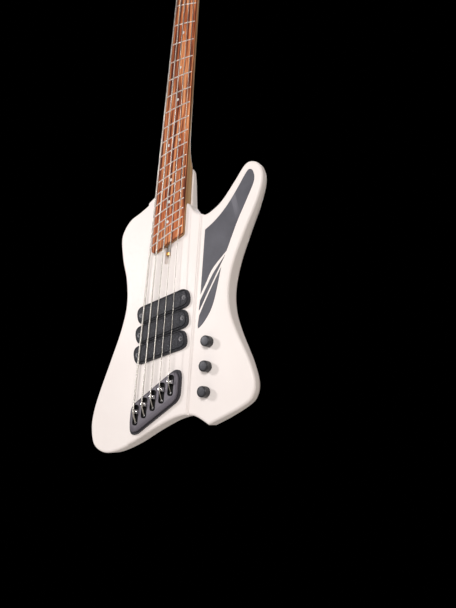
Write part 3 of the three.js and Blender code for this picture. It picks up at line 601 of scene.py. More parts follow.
def slopeAt(y):
    return np.interp(-np.asarray(y, float), -lineTable[0], lineTable[1])


def boardHalf(y):
    return board["halfAtNut"] - board["taper"] * y


def boardTop(x):
    return np.sqrt(board["radius"] ** 2 - np.asarray(x) ** 2) - board["radius"]


def edgeX(y, slope, side, grow=0.0):
    # Where the slanted line meets the tapering edge of the board, grown outwards.
    return side * (boardHalf(y) + grow) / (1 + side * board["taper"] * slope)


def boardOutline(topY, topSlope, grow, lastY=endY, lastSlope=endSlope):
    ends = {}
    for side in (-1, 1):
        for key, y, slope in (("top", topY, topSlope), ("end", lastY, lastSlope)):
            x = edgeX(y, slope, side, grow)
            ends[key, side] = np.array([x, y + slope * x])
    low, high = ends["end", -1], ends["end", 1]
    bass = bend(low + [10 * board["taper"], 10], low, low + [12, 12 * lastSlope])
    treble = bend(high - [4, 4 * lastSlope], high, high + [-4 * board["taper"], 4], 4)
    return np.vstack([ends["top", -1][None], bass, treble, ends["top", 1][None]])


def cornerInset(distance, reach):
    # How far a quarter-round corner of that reach stands in, at a distance from its end.
    t = np.clip(1 - distance / reach, 0, 1)
    return reach * (1 - np.sqrt(1 - t**2))


def boardStations(topY):
    near = np.array([0, 0.1, 0.35, 0.8, 1.4, 2.1, 3, 4, 5.2, 6.6, 8.2, 10, 12])
    return np.concatenate([endY + near, np.linspace(endY + 20, topY, 90)])


def boardSides(y, slope, grow):
    left = edgeX(y, slope, -1, grow) + cornerInset(y - endY, board["bassCorner"])
    right = edgeX(y, slope, 1, grow) - cornerInset(y - endY, board["trebleCorner"])
    return left, right


def fingerboardPart():
    # Slanted sections from the body end to the nut. Across each: the flat underside, then up one
    # side, over its small rounding, along the top's large radius and down the other side.
    y = boardStations(nutY)
    slope = slopeAt(y)
    left, right = boardSides(y, slope, 0.0)
    e = board["edge"]
    quarter = np.linspace(0, np.pi / 2, 4)
    across = np.concatenate([np.ones(4), np.linspace(1, 0, 33)[1:-1], np.zeros(4)])
    out = np.concatenate([np.cos(quarter), np.zeros(31), -np.cos(quarter[::-1])])
    lift = np.concatenate([np.sin(quarter), np.ones(31), np.sin(quarter[::-1])])
    x = left[:, None] + e + across * (right - left - 2 * e)[:, None] + out * e
    z = boardTop(x) - e + lift * e
    feet = np.stack([left, right], -1)
    x = np.concatenate([feet, x], 1)
    z = np.concatenate([np.full(feet.shape, board["underside"]), z], 1)
    return ringStack(np.stack([x, y[:, None] + slope[:, None] * x, z], -1))


def fretsPart():
    # Each fret is a half-oval section carried across the board's radius, lower at its two ends.
    y, slope = crossLine(fretAlong(np.arange(1, frets["count"] + 1)))
    left, right = boardSides(y, slope, -frets["inset"])
    t = np.concatenate([[0, 0.012, 0.03], np.linspace(0.06, 0.94, 18), [0.97, 0.988, 1]])
    crown = np.interp(t, [0, 0.012, 0.03, 0.97, 0.988, 1], [0.25, 0.75, 1, 1, 0.75, 0.25])
    a = np.linspace(0, np.pi, 9)
    x = left[:, None] + (right - left)[:, None] * t
    stretch = np.hypot(1, slope)[:, None, None]
    dy = frets["width"] / 2 * np.cos(a) * stretch
    dz = frets["height"] * np.sin(a) * crown[:, None]
    points = np.empty(x.shape + (len(a) + 2, 3))
    points[..., 0] = x[..., None]
    middle = y[:, None] + slope[:, None] * x
    base = boardTop(x)
    points[..., 1:-1, 1] = middle[..., None] + dy
    points[..., 1:-1, 2] = base[..., None] + dz
    points[..., 0, 1] = middle + frets["width"] / 2 * stretch[..., 0]
    points[..., -1, 1] = middle - frets["width"] / 2 * stretch[..., 0]
    points[..., 0, 2] = points[..., -1, 2] = base - frets["seat"]
    return ringStack(points)


marks = {
    "frets": [3, 5, 7, 9, 12, 15, 17, 19], "double": 12, "spread": 12.0, "radius": 3.0,
    "sideRadius": 1.1, "sideHeight": -3.2,
}


def markYs():
    n = np.array(marks["frets"])
    return (crossLine(fretAlong(n))[0] + crossLine(fretAlong(n - 1))[0]) / 2


def faceDots():
    r = marks["radius"]
    disc = turned([[r, -1.2], [r, -0.02], [r - 0.1, 0.05]], 32)
    parts = []
    for n, y in zip(marks["frets"], markYs()):
        slope = float(slopeAt(y))
        for x in ((-marks["spread"], marks["spread"]) if n == marks["double"] else (0.0,)):
            parts.append(standOn(disc, (x, y + slope * x, float(boardTop(x)))))
    return joined(parts)


def sideDots():
    r = marks["sideRadius"]
    disc = turned([[r, -1.0], [r, 0.0], [r - 0.1, 0.06]], 20)
    parts = []
    for n, y in zip(marks["frets"], markYs()):
        slope = float(slopeAt(y))
        x = float(edgeX(y, slope, -1))
        for shift in ((-4, 4) if n == marks["double"] else (0,)):
            parts.append(standOn(disc, (x, y + slope * x + shift, marks["sideHeight"]), (-1, 0, 0)))
    return joined(parts)


addPiece("fingerboard", fingerboardPart(), "fingerboard", nodes=["fretted_fingerboard"], sharp=50)
addPiece("frets", fretsPart(), "fretNickel", nodes=["fretted_fingerboard"], sharp=60)
addPiece("face_dots", faceDots(), "pearl")
addPiece("side_dots", sideDots(), "pearl")
print("fingerboard, frets and dots made")

# The body: an outline with a rounded top edge, an upright wall and a slope to the flat back.
bodyLook = {
    "start": [-34, -511],
    "bassSide": [
        [-60, -530], [-84, -544], [-106, -555], [-121, -574], [-126, -596], [-117, -637],
        [-103, -677], [-96.5, -724], [-104.5, -771], [-123.5, -827], [-143.5, -883], [-154, -920],
        [-156, -950], [-146, -980], [-122, -992], [-92, -988.5], [-50, -970.5], [-7, -945.5],
        [34, -924.5], [62, -916], [82, -917], [107, -928]],
    "trebleSide": [
        [130, -916.5], [166, -897.5], [184, -882.5], [188.5, -859], [176, -825], [149, -777.5],
        [134, -742], [130, -705], [137, -662], [155, -613], [175, -564], [184, -527], [179, -503],
        [164, -491.5], [148, -494.5], [130, -519], [106, -550.5], [86, -566], [70, -571.5],
        [52, -564.5], [36, -547]],
    "spacing": 3.0, "wingTop": -13.5, "centreTop": -9.5, "back": -46.0, "edgeRound": 5.0,
    "backCurve": [[1, 0], [0.5, 0.22], [0.18, 0.55], [0, 1]], "backSpread": 0.85,
    "centreLeft": -58.0, "centreRight": 65.0, "footSlope": 1.6, "footFillet": 2.0,
    "stepRound": 1.2, "pocketFloor": -24.5,
    "tongue": [
        [-580, 36, -45.5, 7], [-556, 35.5, -45.5, 8], [-540, 34.5, -43.5, 9], [-505, 33.4, -40, 10],
        [-484, 32.6, -37.5, 11], [-475, 30, -34, 8], [-470, 24, -30, 4]],
}


def bodyOutline():
    first = curveThrough([bodyLook["start"]] + bodyLook["bassSide"])
    second = curveThrough([bodyLook["bassSide"][-1]] + bodyLook["trebleSide"])
    step = bodyLook["spacing"]
    return np.vstack([respaced(first, step), respaced(second, step)[1:]])


fold = {"share": 0.72, "reach": 3, "most": 400.0, "hold": 4, "least": 1e-4}


def roomInside(ring):
    # How far each point of an outline may move in before a tight bend folds: a share of the bend's
    # own radius, held low for some way on either side and then smoothed.
    step = np.roll(ring, -1, axis=0) - ring
    length = np.linalg.norm(step, axis=1)
    heading = np.unwrap(np.arctan2(step[:, 1], step[:, 0]))
    f = fold
    turn = np.roll(heading, -f["reach"]) - np.roll(heading, f["reach"])
    turn = (turn + np.pi) % (2 * np.pi) - np.pi
    radius = 2 * f["reach"] * length.mean() / np.maximum(turn, f["least"])
    room = np.where(turn > f["least"], f["share"] * radius, f["most"])
    room = np.minimum(room, f["most"])
    near = range(-f["hold"], f["hold"] + 1)
    room = np.min([np.roll(room, k) for k in near], axis=0)
    return np.mean([np.roll(room, k) for k in near], axis=0)


def backDrop(ring):
    # Where the wall ends above the back: shallow at the waist, deep at the horn and treble bout.
    x, y = ring.T
    hornward = np.clip((y + 660) / 100, 0, 1) * np.minimum(1, np.maximum(0, x - 60) / 50)
    return 8 + 0.2 * np.maximum(0, x - 132) + 2 * hornward


def bodySlab(ring, bottom, top, drop):
    # Rows from the back up: the slope's curve, then a quarter circle in to the top.
    r = bodyLook["edgeRound"]
    facing = inward(ring)
    room = roomInside(ring)
    rows = []
    for across, down in curveThrough(bodyLook["backCurve"], 4):
        rows.append((np.minimum(drop * across * bodyLook["backSpread"], room), bottom + drop * down))
    for t in np.linspace(np.pi / 2, 0, 8):
        rows.append((np.full(len(ring), r * (1 - math.sin(t))),
                     np.full(len(ring), top - r * (1 - math.cos(t)))))
    rings = [np.column_stack([ring + facing * inset[:, None], height]) for inset, height in rows]
    return ringStack(np.stack(rings))


def centreBar():
    # The raised middle in section: rounded top corners, and on the treble side a slope that ends in
    # a hollow fillet; the section is carried along the body.
    b = bodyLook
    top, wing, s = b["centreTop"], b["wingTop"], b["stepRound"]
    a = np.linspace(0, np.pi / 2, 6)
    foot = b["centreRight"] + b["footSlope"]
    left = np.stack([b["centreLeft"] + s * (1 - np.sin(a)), top - s * (1 - np.cos(a))], -1)
    right = np.stack([b["centreRight"] - s * (1 - np.sin(a)), top - s * (1 - np.cos(a))], -1)[::-1]
    f = b["footFillet"]
    hollow = np.stack([foot + f * (1 - np.cos(a)), wing + f * (1 - np.sin(a)) - 0.05], -1)
    section = np.vstack([[[b["centreLeft"], wing - 8]], left[::-1], right[::-1], hollow,
                         [[foot + f, wing - 8]]])
    ends = [np.column_stack([section[:, 0], np.full(len(section), y), section[:, 1]])
            for y in (-1010.0, -480.0)]
    return ringStack(np.stack(ends))


def heelTongue():
    # Sections that carry the heel past the cutaway, each with its lower corners rounded.
    rings = []
    for y, half, back, r in curveThrough(bodyLook["tongue"], 5):
        a = np.linspace(0, np.pi / 2, 7)
        x = half - r * (1 - np.cos(a))
        z = back + r * 0.6 * (1 - np.sin(a))
        right = np.stack([x, z], -1)
        left = np.stack([-x, z], -1)[::-1]
        flat = np.vstack([[[half, bodyLook["pocketFloor"]]], right, left,
                          [[-half, bodyLook["pocketFloor"]]]])
        rings.append(np.column_stack([flat[:, 0], np.full(len(flat), y), flat[:, 1]]))
    return ringStack(np.stack(rings))


pickups = {
    "names": ["neck", "middle", "bridge"], "y": [-734.5, -770.0, -805.5], "x": 0.5,
    "tilt": math.atan(0.292), "length": 117.0, "width": 32.4, "top": -3.0, "bottom": -22.0,
    "edge": 0.8, "rimDrop": 1.0, "rimWidth": 1.9, "grooveWidth": 1.3, "grooveDepth": 3.6,
    "screwX": 49.0, "screwRadius": 2.3, "screwDrop": 1.5, "seatRadius": 3.8,
}
controls = {
    "names": ["volume", "selector", "tone"], "x": 99.5, "y": [-796.0, -836.5, -877.0],
    "radius": 9.0, "height": 12.8, "lift": 0.7, "hole": 4.3, "flutes": 44, "fluteDepth": 0.11,
}
cover = {
    "outline": [[64, -770], [64, -902], [128, -902], [146, -884], [146, -812], [124, -770]],
    "cavity": [[76, -782], [76, -893], [124, -893], [136, -880], [136, -816], [120, -782]],
    "thick": 2.4, "recess": 2.7, "cavityTop": -19.0, "gap": 0.4, "screwRadius": 2.6,
    "screws": [[70, -776], [70, -896], [124, -896], [141, -848], [119, -776]],
}
bolts = {"places": [[-20, -540], [20, -552], [-20, -598], [20, -588]], "headRadius": 5.8,
         "recess": 6.3, "recessDepth": 3.5}
straps = [
    {"name": "tail", "place": (-112, -948, -46), "axis": (0, 0, -1)},
    {"name": "back", "place": (-56, -566, -46), "axis": (0, 0, -1)},
]
jack = {"place": (91, -915, -29.5), "axis": (0, -1, 0), "seat": 11.0, "bore": 5.4}
channel = {"half": 6, "low": -656, "high": -600, "floor": -17.4}  # where the rod's wheel is reached
trims = {
    "depth": 1.6, "gap": 0.25, "edge": 0.35, "proud": 0.12,
    "panel": [
        [[75, -716], [85, -696], [97, -672], [123, -644]],
        [[123, -644], [140, -597], [156, -561], [169, -529], [166, -511], [158, -506], [151, -513]],
        [[151, -513], [133, -542], [115, -567], [95, -587], [75, -601]]],
    "upper": [
        [[121, -650], [100, -678], [86, -704], [75, -726]],
        [[75, -726], [74.5, -743], [88, -716], [101, -690], [121, -650]]],
    "lower": [
        [[114, -671], [99, -700], [86, -727], [75, -752]],
        [[75, -752], [75, -773], [92, -755], [104, -727], [114, -671]]],
}


def trimRing(curves):
    line = np.vstack([curveThrough(c, 8) for c in curves])
    keep = np.linalg.norm(line - np.roll(line, -1, axis=0), axis=1) > 0.3
    ring = line[keep]
    return ring if isAnticlockwise(ring) else ring[::-1]


def atPickup(part, k):
    c, s = math.cos(pickups["tilt"]), math.sin(pickups["tilt"])
    x, y, z = part[0].T
    return np.stack([c * x - s * y + pickups["x"], s * x + c * y + pickups["y"][k], z], -1), part[1]


def pickupRing(grow):
    half = np.array([pickups["length"] / 2 + grow, pickups["width"] / 2 + grow])
    corners = np.array([[-1, -1], [1, -1], [1, 1], [-1, 1]]) * half
    return roundedOutline(corners, half[1] - 1.2, 12)


def peg(radius, place, low, high, axis=(0, 0, 1), sides=40):
    return standOn(turned([[radius, low], [radius, high]], sides), place, axis)


def bodyTools():
    b = bodyLook
    tools = [
        slab(boardOutline(-400.0, 0.0, 0.5, endY - 0.4), b["pocketFloor"], 0.0),
        box(-channel["half"], channel["half"], channel["low"], channel["high"], channel["floor"], 0),
        slab(np.array(cover["outline"], float), b["back"] - 1, b["back"] + cover["recess"]),
        slab(roundedOutline(cover["cavity"], 8), b["back"] - 1, cover["cavityTop"]),
        peg(jack["seat"], jack["place"], 0, 30, jack["axis"]),
        peg(jack["bore"], jack["place"], -40, 2, jack["axis"]),
    ]
    for k in range(3):
        tools.append(atPickup(slab(pickupRing(0.35), -29.0, 0.0), k))
        tools.append(peg(controls["hole"], (controls["x"], controls["y"][k], 0), -20, 0))
    for x, y in bolts["places"]:
        tools.append(peg(bolts["recess"], (x, y, b["back"]), -1, bolts["recessDepth"]))
    for key in ("panel", "upper", "lower"):
        tools.append(slab(trimRing(trims[key]), b["wingTop"] - trims["depth"] - 0.2, 0.0))
    return tools


def makeBody():
    ring = bodyOutline()
    b = bodyLook
    wings = bodySlab(ring, b["back"], b["wingTop"], backDrop(ring))
    piece = makeObject("body_shell", wings, "bodyPaint")
    centre = makeObject("centre", bodySlab(ring, b["wingTop"] - 16, b["centreTop"],
                                           np.ones(len(ring))), "bodyPaint")
    carve(centre, [makeObject("bar", centreBar(), "bodyPaint")], "INTERSECT")
    carve(piece, [centre, makeObject("tongue", heelTongue(), "bodyPaint")], "UNION")
    tools = [makeObject(f"tool{k}", part, "bodyPaint") for k, part in enumerate(bodyTools())]
    carve(piece, tools)
    return finishPiece(piece, nodes=["body"], sharp=32)


makeBody()
print("body made")

# The neck: slanted sections, round under the hand and square at the heel and the head.
neckLook = {
    "top": -6.3,
    "stations": [
        [-700, 17.9, 0.14], [-474, 17.9, 0.16], [-462, 17.2, 0.42], [-448, 16.6, 0.7],
        [-425, 16, 0.95], [-260, 15.2, 0.95], [-60, 14.5, 0.95], [-34, 15.2, 0.85],
        [-14, 16.8, 0.45], [-4, 17.25, 0.2], [60, 17.25, 0.16]],
    "headFace": -9.5, "headBack": -23.5, "headEdge": 2.2,
    "headLeft": [[-22.6, -6], [-23.4, 34], [-30, 58], [-40, 72], [-43, 92], [-40, 150], [-35, 192]],
    "headRight": [[28, 190], [38, 150], [43, 98], [40, 74], [30, 56], [23, 32], [22.6, -6]],
}


def neckShaft():
    # Across each slanted section: x = half * cos^p and z = top - depth * sin^p, where depth and the
    # power p change along the neck.
    y = boardStations(nutY + board["nutLength"])
    slope = slopeAt(y)
    left, right = boardSides(y, slope, -0.2)
    middle, half = ((right + left) / 2)[:, None], ((right - left) / 2)[:, None]
    a = np.linspace(0, np.pi, 41)
    c, s = np.cos(a), np.sin(a)
    here = y[:, None] + slope[:, None] * half * c
    at, depth, power = np.array(neckLook["stations"]).T
    p = np.interp(here, at, power)
    x = middle + half * np.sign(c) * np.abs(c) ** p
    z = neckLook["top"] - np.interp(here, at, depth) * np.maximum(s, 0) ** p
    return ringStack(np.stack([x, y[:, None] + slope[:, None] * x, z], -1))


def headRing():
    left, right = neckLook["headLeft"], neckLook["headRight"]
    line = np.vstack([
        left[0], curveThrough(left[1:], 8), bend([-35, 192], [-31, 216], [-12, 221])[1:],
        bend([-12, 221], [14, 222], [28, 190])[1:-1], curveThrough(right[:-1], 8), right[-1]])
    return line[::-1]


tuners = {
    "places": {"low_b": (-28, 84, -1), "e": (-26, 124, -1), "a": (-23, 164, -1), "d": (23, 144, 1),
               "g": (27, 102, 1)},
    "keyZ": -31.5, "wormOffset": 8.8, "postRadius": 4.6, "hole": 4.9,
    "housingDepth": 14.0, "housingGap": 0.3,
}


def makeNeck():
    piece = makeObject("neck_shaft", neckShaft(), "mapleNeck")
    edge = neckLook["headEdge"]
    head = slab(headRing(), neckLook["headBack"], neckLook["headFace"], edge, edge)
    carve(piece, [makeObject("head", head, "mapleNeck")], "UNION")
    pegs = [peg(tuners["hole"], (x, y, 0), -40, 0) for x, y, _ in tuners["places"].values()]
    carve(piece, [makeObject(f"tool{k}", part, "mapleNeck") for k, part in enumerate(pegs)])
    return finishPiece(piece, nodes=["neck"], sharp=40)


makeNeck()
print("neck made")


# A CAD node copied, its corners merged and its flat faces cleaned, for a piece with rounded edges.
def copyOf(node, material):
    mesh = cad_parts[node].data.copy()
    shell = bmesh.new()
    shell.from_mesh(mesh)
    bmesh.ops.remove_doubles(shell, verts=shell.verts, dist=2e-6)
    bmesh.ops.dissolve_limit(shell, angle_limit=math.radians(1.0), verts=shell.verts, edges=shell.edges)
    shell.to_mesh(mesh)
    shell.free()
    mesh.materials.clear()
    mesh.materials.append(materials[material])
    piece = bpy.data.objects.new(node + "_shaped", mesh)
    bpy.context.scene.collection.objects.link(piece)
    return piece


finishPiece(copyOf("nut", "nutBlack"), nodes=["nut"], bevel=0.35)

for key, name, node in (("panel", "horn_inlay", "horn_panel"),
                        ("upper", "horn_inlay_upper", "horn_strip_upper"),
                        ("lower", "horn_inlay_lower", "horn_strip_lower")):
    ring = trimRing(trims[key])
    ring = ring + inward(ring) * trims["gap"]
    face = bodyLook["wingTop"]
    part = slab(ring, face - trims["depth"], face + trims["proud"], 0, trims["edge"], 3)
    addPiece(name, part, "trimSlate", nodes=[node], sharp=50)

# Pickups: a rim, a groove inside it and a raised middle, with a countersunk screw at either end.
for k, name in enumerate(pickups["names"]):
    p = pickups
    rim = makeObject(f"pickup_{name}",
                     atPickup(slab(pickupRing(0), p["bottom"], p["top"] - p["rimDrop"], 0,
                                   p["edge"], 5), k),
                     "pickupPlastic")
    inner = atPickup(slab(pickupRing(-p["rimWidth"]), p["top"] - p["grooveDepth"], 0), k)
    # The groove's cut faces take the tool's near-black: painted shade in the groove.
    carve(rim, [makeObject("groove", inner, "recessPaintedShade")])
    finishPiece(rim, nodes=[f"pickup_cover_{name}"], sharp=40)
    raised = slab(pickupRing(-p["rimWidth"] - p["grooveWidth"]), p["top"] - p["grooveDepth"] - 0.5,
                  p["top"], 0, p["edge"] * 0.7, 4)
    middle = makeObject(f"pickup_face_{name}", atPickup(raised, k), "pickupPlastic")
    seat = [[1.6, p["top"] - 3.4], [p["seatRadius"] * 0.7, p["top"] - 2.0],
            [p["seatRadius"] * 0.7, p["top"] - 1.2], [p["seatRadius"], p["top"] + 0.01],
            [p["seatRadius"], p["top"] + 1]]
    seats = joined([standOn(turned(seat, 32), (side * p["screwX"], 0, 0)) for side in (-1, 1)])
    # The seats' cut faces take the tool's pale grey: a painted highlight in the countersinks.
    carve(middle, [makeObject("seats", atPickup(seats, k), "pickupSeatPaintedHighlight")])
    finishPiece(middle, nodes=[f"pickup_cover_{name}"], sharp=40)
    level = p["top"] - p["screwDrop"]
    heads = joined([standOn(screwHead(p["screwRadius"], 1.4), (side * p["screwX"], 0, level))
                    for side in (-1, 1)])
    addPiece(f"pickup_screws_{name}", atPickup(heads, k), "blackHardware")
print("pickups made")

# The bridge: a foot and a plate on it, with a round-ended slot for each saddle.
bridge = {
    "left": -48.5, "right": 50.0, "slope": 0.72, "upper": -873.5, "lower": -926.0,
    "corners": [10, 30, 13, 28], "footGrow": 2.6, "footBottom": -9.2, "footTop": -4.4,
    "plateBottom": -4.3, "plateTop": -1.0, "floor": -7.4, "slotHalf": 6.2, "slotBelow": 23.0,
    "slotAbove": 12.0, "edge": 0.9,
}


def bridgeRing(grow):
    b = bridge
    up, down = b["upper"] + 1.2 * grow, b["lower"] - 1.2 * grow
    left, right = b["left"] - grow, b["right"] + grow
    corners = [[left, up + b["slope"] * left], [left, down + b["slope"] * left],
               [right, down + b["slope"] * right], [right, up + b["slope"] * right]]
    return roundedOutline(corners, b["corners"], 14)


def slotRing(x, y):
    half = bridge["slotHalf"]
    low, high = y - bridge["slotBelow"], y + bridge["slotAbove"]
    return roundedOutline([[x - half, low], [x + half, low], [x + half, high], [x - half, high]],
                          half - 0.4, 8)


def makeBridge():
    b = bridge
    wide = slab(bridgeRing(b["footGrow"]), b["footBottom"], b["footTop"], 0, b["edge"])
    # The foot is drawn darker than the plate: painted shade on its side.
    foot = makeObject("bridge_foot", wide, "bridgeFootPaintedShade")
    narrow = slab(bridgeRing(0), b["plateBottom"], b["plateTop"], 0, b["edge"])
    plate = makeObject("bridge_top", narrow, "bridgeAnodised")
    for piece, look in ((foot, "bridgeFootPaintedShade"), (plate, "bridgeAnodised")):
        # The slots' cut faces take the tool's near-black: painted shade in the slots.
        holes = [makeObject("slot", slab(slotRing(x, y), b["floor"], 4.0), "recessPaintedShade")
                 for x, y, _ in saddlePoints]
        carve(piece, holes)
        finishPiece(piece, nodes=["bridge_plate"], sharp=40)


makeBridge()

# Saddles: a block whose side view is a short ramp up to the rest, with rounded edges all round.
saddle = {
    "half": 5.4, "edge": 0.7, "gap": 0.3,
    "front": 4.6, "rear": -4.0, "grubRadius": 1.25, "grubX": 3.3, "grubY": 2.9,
}


def saddlePart(rest):
    # The side view as a ring in y and z, stacked across the strings; both ends draw in by the edge.
    low = bridge["floor"] + saddle["gap"]
    corners = [[saddle["rear"], low], [saddle["front"], low], [saddle["front"], rest - 5.4],
               [3.2, rest - 2.4], [1.3, rest], [-0.6, rest], [-2.8, rest - 1.8],
               [saddle["rear"], rest - 4.6]]
    ring = roundedOutline(corners, [0.5, 0.6, 1.2, 1.0, 0.6, 0.5, 0.8, 0.8], 4)
    points, faces = slab(ring, -saddle["half"], saddle["half"], saddle["edge"], saddle["edge"], 3)
    return points[:, [2, 0, 1]], faces


for name, radius, (x, y, z) in zip(strings["names"], strings["radii"], saddlePoints):
    rest = z - radius - saddle["gap"]
    block = standOn(saddlePart(rest), (x, y, 0))
    body = f"saddle_body_{name}"
    addPiece(f"saddle_block_{name}", block, "chrome", body, [f"saddle_{name}"], sharp=50)
    drop = rest - 3.0
    grubs = [standOn(screwHead(saddle["grubRadius"], 1.2, depth=0.9),
                     (x + side * saddle["grubX"], y + saddle["grubY"], drop), (0, 0.8, 1))
             for side in (-1, 1)]
    addPiece(f"saddle_grubs_{name}", joined(grubs), "steel", body)
print("bridge and saddles made")


# Strings: round bars with short bends over the saddle and the nut, and their turns on the posts.
def softened(points, reach, steps=6):
    # A line whose corners are bends, reaching the same distance to both sides of each corner.
    p = np.asarray(points, float)
    line = [p[:1]]
    for a, b, c in zip(p[:-2], p[1:-1], p[2:]):
        before = b + (a - b) / np.linalg.norm(a - b) * reach
        after = b + (c - b) / np.linalg.norm(c - b) * reach
        line.append(bend(before, b, after, steps))
    return np.vstack(line + [p[-1:]])


def addAlongMap(piece, path, sides):
    # A UV map whose v runs along the piece in metres, for the winding's ridges.
    mesh = piece.data
    run = np.concatenate([[0.0], np.cumsum(np.linalg.norm(np.diff(path, axis=0), axis=1))]) / 1000.0
    corner = np.zeros(len(mesh.loops), np.int64)
    mesh.loops.foreach_get("vertex_index", corner)
    uv = np.stack([(corner % sides) / sides, run[np.minimum(corner // sides, len(run) - 1)]], -1)
    mesh.uv_layers.new(name="along").data.foreach_set("uv", uv.astype(np.float32).ravel())


stringRun = {
    "endBelow": 17.4, "endHeight": -2.6, "dipBelow": 6.0, "dip": 1.9, "postHeight": 0.4,
    "postGap": 0.3, "bend": 1.6, "sides": 12,
    "ball": [[1.2, -1.6], [2.4, -1.6], [2.7, -1.2], [2.3, -0.4], [2.3, 0.4], [2.7, 1.2], [2.4, 1.6],
             [1.2, 1.6]],
    "ballBelow": 18.2, "ballHeight": -4.6,
}


def stringPath(k):
    # Ball end, over the saddle and the nut, to the side of the post that faces the middle.
    name, r = strings["names"][k], strings["radii"][k]
    x, y, side = tuners["places"][name]
    run = stringRun
    inside = x - side * (tuners["postRadius"] + r + run["postGap"])
    s, n = saddlePoints[k], nutPoints[k]
    end = [s[0], s[1] - run["endBelow"], run["endHeight"]]
    dip = [s[0], s[1] - run["dipBelow"], s[2] - run["dip"]]
    return softened([end, dip, s, n, [inside, y, run["postHeight"]]], run["bend"])


def densePath(line, step=10.0):
    # Long stretches are divided so that the bar and its map have even rows.
    parts = [respaced(np.vstack([a, b]), step)[:-1] for a, b in zip(line[:-1], line[1:])]
    return np.vstack(parts + [line[-1:]])


winding = {
    "turns": 2.2, "sides": 10, "pitchShare": 2.04, "perTurn": 28, "clear": 0.25, "tuck": 1.2,
    "tuckTurns": 0.2,
}


def windingPath(k):
    # A helix down the post, its radius the post's and the string's own, that starts where the
    # string arrives and ends by turning in to the post.
    name, r = strings["names"][k], strings["radii"][k]
    x, y, side = tuners["places"][name]
    t = np.linspace(0, winding["turns"], int(winding["turns"] * winding["perTurn"]))
    start = 0.0 if side < 0 else np.pi
    angle = start + (1 if side < 0 else -1) * 2 * np.pi * t
    w = winding
    tucked = np.clip(t - w["turns"] + w["tuckTurns"], 0, 1) / w["tuckTurns"]
    reach = tuners["postRadius"] + r + w["clear"] - (w["tuck"] + r) * tucked
    return np.stack([x + reach * np.cos(angle), y + reach * np.sin(angle),
                     stringRun["postHeight"] - t * r * w["pitchShare"]], -1)


for k, name in enumerate(strings["names"]):
    r = strings["radii"][k]
    path = densePath(stringPath(k))
    wire = addPiece(f"wire_{name}", tube(path, r, stringRun["sides"]), "stringNickel",
                    nodes=[f"string_{name}"], sharp=60)
    addAlongMap(wire, path, stringRun["sides"])
    path = windingPath(k)
    turns = addPiece(f"winding_{name}", tube(path, r, winding["sides"]), "stringNickel",
                     f"post_{name}", sharp=60)
    addAlongMap(turns, path, winding["sides"])
    s = saddlePoints[k]
    place = (s[0], s[1] - stringRun["ballBelow"], stringRun["ballHeight"])
    addPiece(f"ball_end_{name}", standOn(turned(stringRun["ball"], 28), place, (1, 0, 0)), "steel")
print("strings made")

# Tuners: housing, post with its wheel, bushing and key with a rounded grip.
keyLook = {
    "stem": [[2.2, -7], [2.2, 12.6], [2.6, 13.0], [3.6, 13.4], [3.6, 16.2], [3.0, 16.8], [2.1, 17.4],
             [2.1, 21]],
    "grip": 2.6, "gripEdge": 1.9,
}
postProfile = [[5.2, -35.8], [5.4, -35.4], [5.4, -28.2], [5.2, -28], [4.6, -28], [4.6, -3.5],
               [4.3, -2.2], [3.75, -1], [3.7, 0.6], [3.75, 2.2], [4.3, 3.3], [4.6, 4.1], [4.6, 5.0],
               [4.3, 5.35], [3.9, 5.4]]


def keyGrip():
    # A kidney-shaped outline from four bends, given a thick rounded rim.
    t = np.linspace(0, 1, 9)[:, None]

    def arc(a, b, c, d):
        a, b, c, d = (np.array(p, float) for p in (a, b, c, d))
        return (1 - t) ** 3 * a + 3 * t * (1 - t) ** 2 * b + 3 * t**2 * (1 - t) * c + t**3 * d

    ring = np.vstack([arc((18, -3), (19, -12), (27, -13), (33, -11)),
                      bend([33, -11], [37, 0], [33, 11])[1:-1],
                      arc((33, 11), (27, 13), (19, 12), (18, 3))])
    return slab(ring, -keyLook["grip"], keyLook["grip"], keyLook["gripEdge"], keyLook["gripEdge"], 5)


def makeTuner(name, x, y, side):
    t = tuners
    finishPiece(copyOf(f"tuner_housing_{name}", "blackHardware"),
                nodes=[f"tuner_housing_{name}"], bevel=0.9)
    back = neckLook["headBack"] - t["housingGap"] - t["housingDepth"]
    heads = joined([standOn(screwHead(1.7, 1.2, True), (x + dx, y + dy, back - 0.35), (0, 0, -1))
                    for dx, dy in ((-7, -5.5), (7, -5.5), (-7, 10), (7, 10))])
    addPiece(f"housing_screws_{name}", heads, "steel")
    shaft = standOn(turned(postProfile, 48), (x, y, 0))
    post = makeObject(f"post_shaft_{name}", shaft, "blackHardware")
    carve(post, [makeObject("slit", box(x - 0.9, x + 0.9, y - 8, y + 8, 2.4, 9), "blackHardware")])
    finishPiece(post, f"post_{name}", [f"tuner_post_{name}"], sharp=40)
    washer = [[4.85, -9.4], [8.2, -9.4], [8.2, -8.6], [7.6, -8.1], [6.6, -7.9], [5.4, -7.4],
              [4.85, -7.4]]
    addPiece(f"bushing_{name}", standOn(turnedLoop(washer, 48), (x, y, 0)), "blackHardware", sharp=40)
    stem = standOn(turned(keyLook["stem"], 32), (0, 0, 0), (1, 0, 0))
    key = joined([stem, keyGrip()])
    points = key[0] * np.array([side, side, 1.0]) + (x, y + t["wormOffset"], t["keyZ"])
    addPiece(f"key_{name}_shaped", (points, key[1]), "blackHardware",
             f"key_{name}", [f"tuner_key_{name}"], sharp=50)


for name, (x, y, side) in tuners["places"].items():
    makeTuner(name, x, y, side)
print("tuners made")

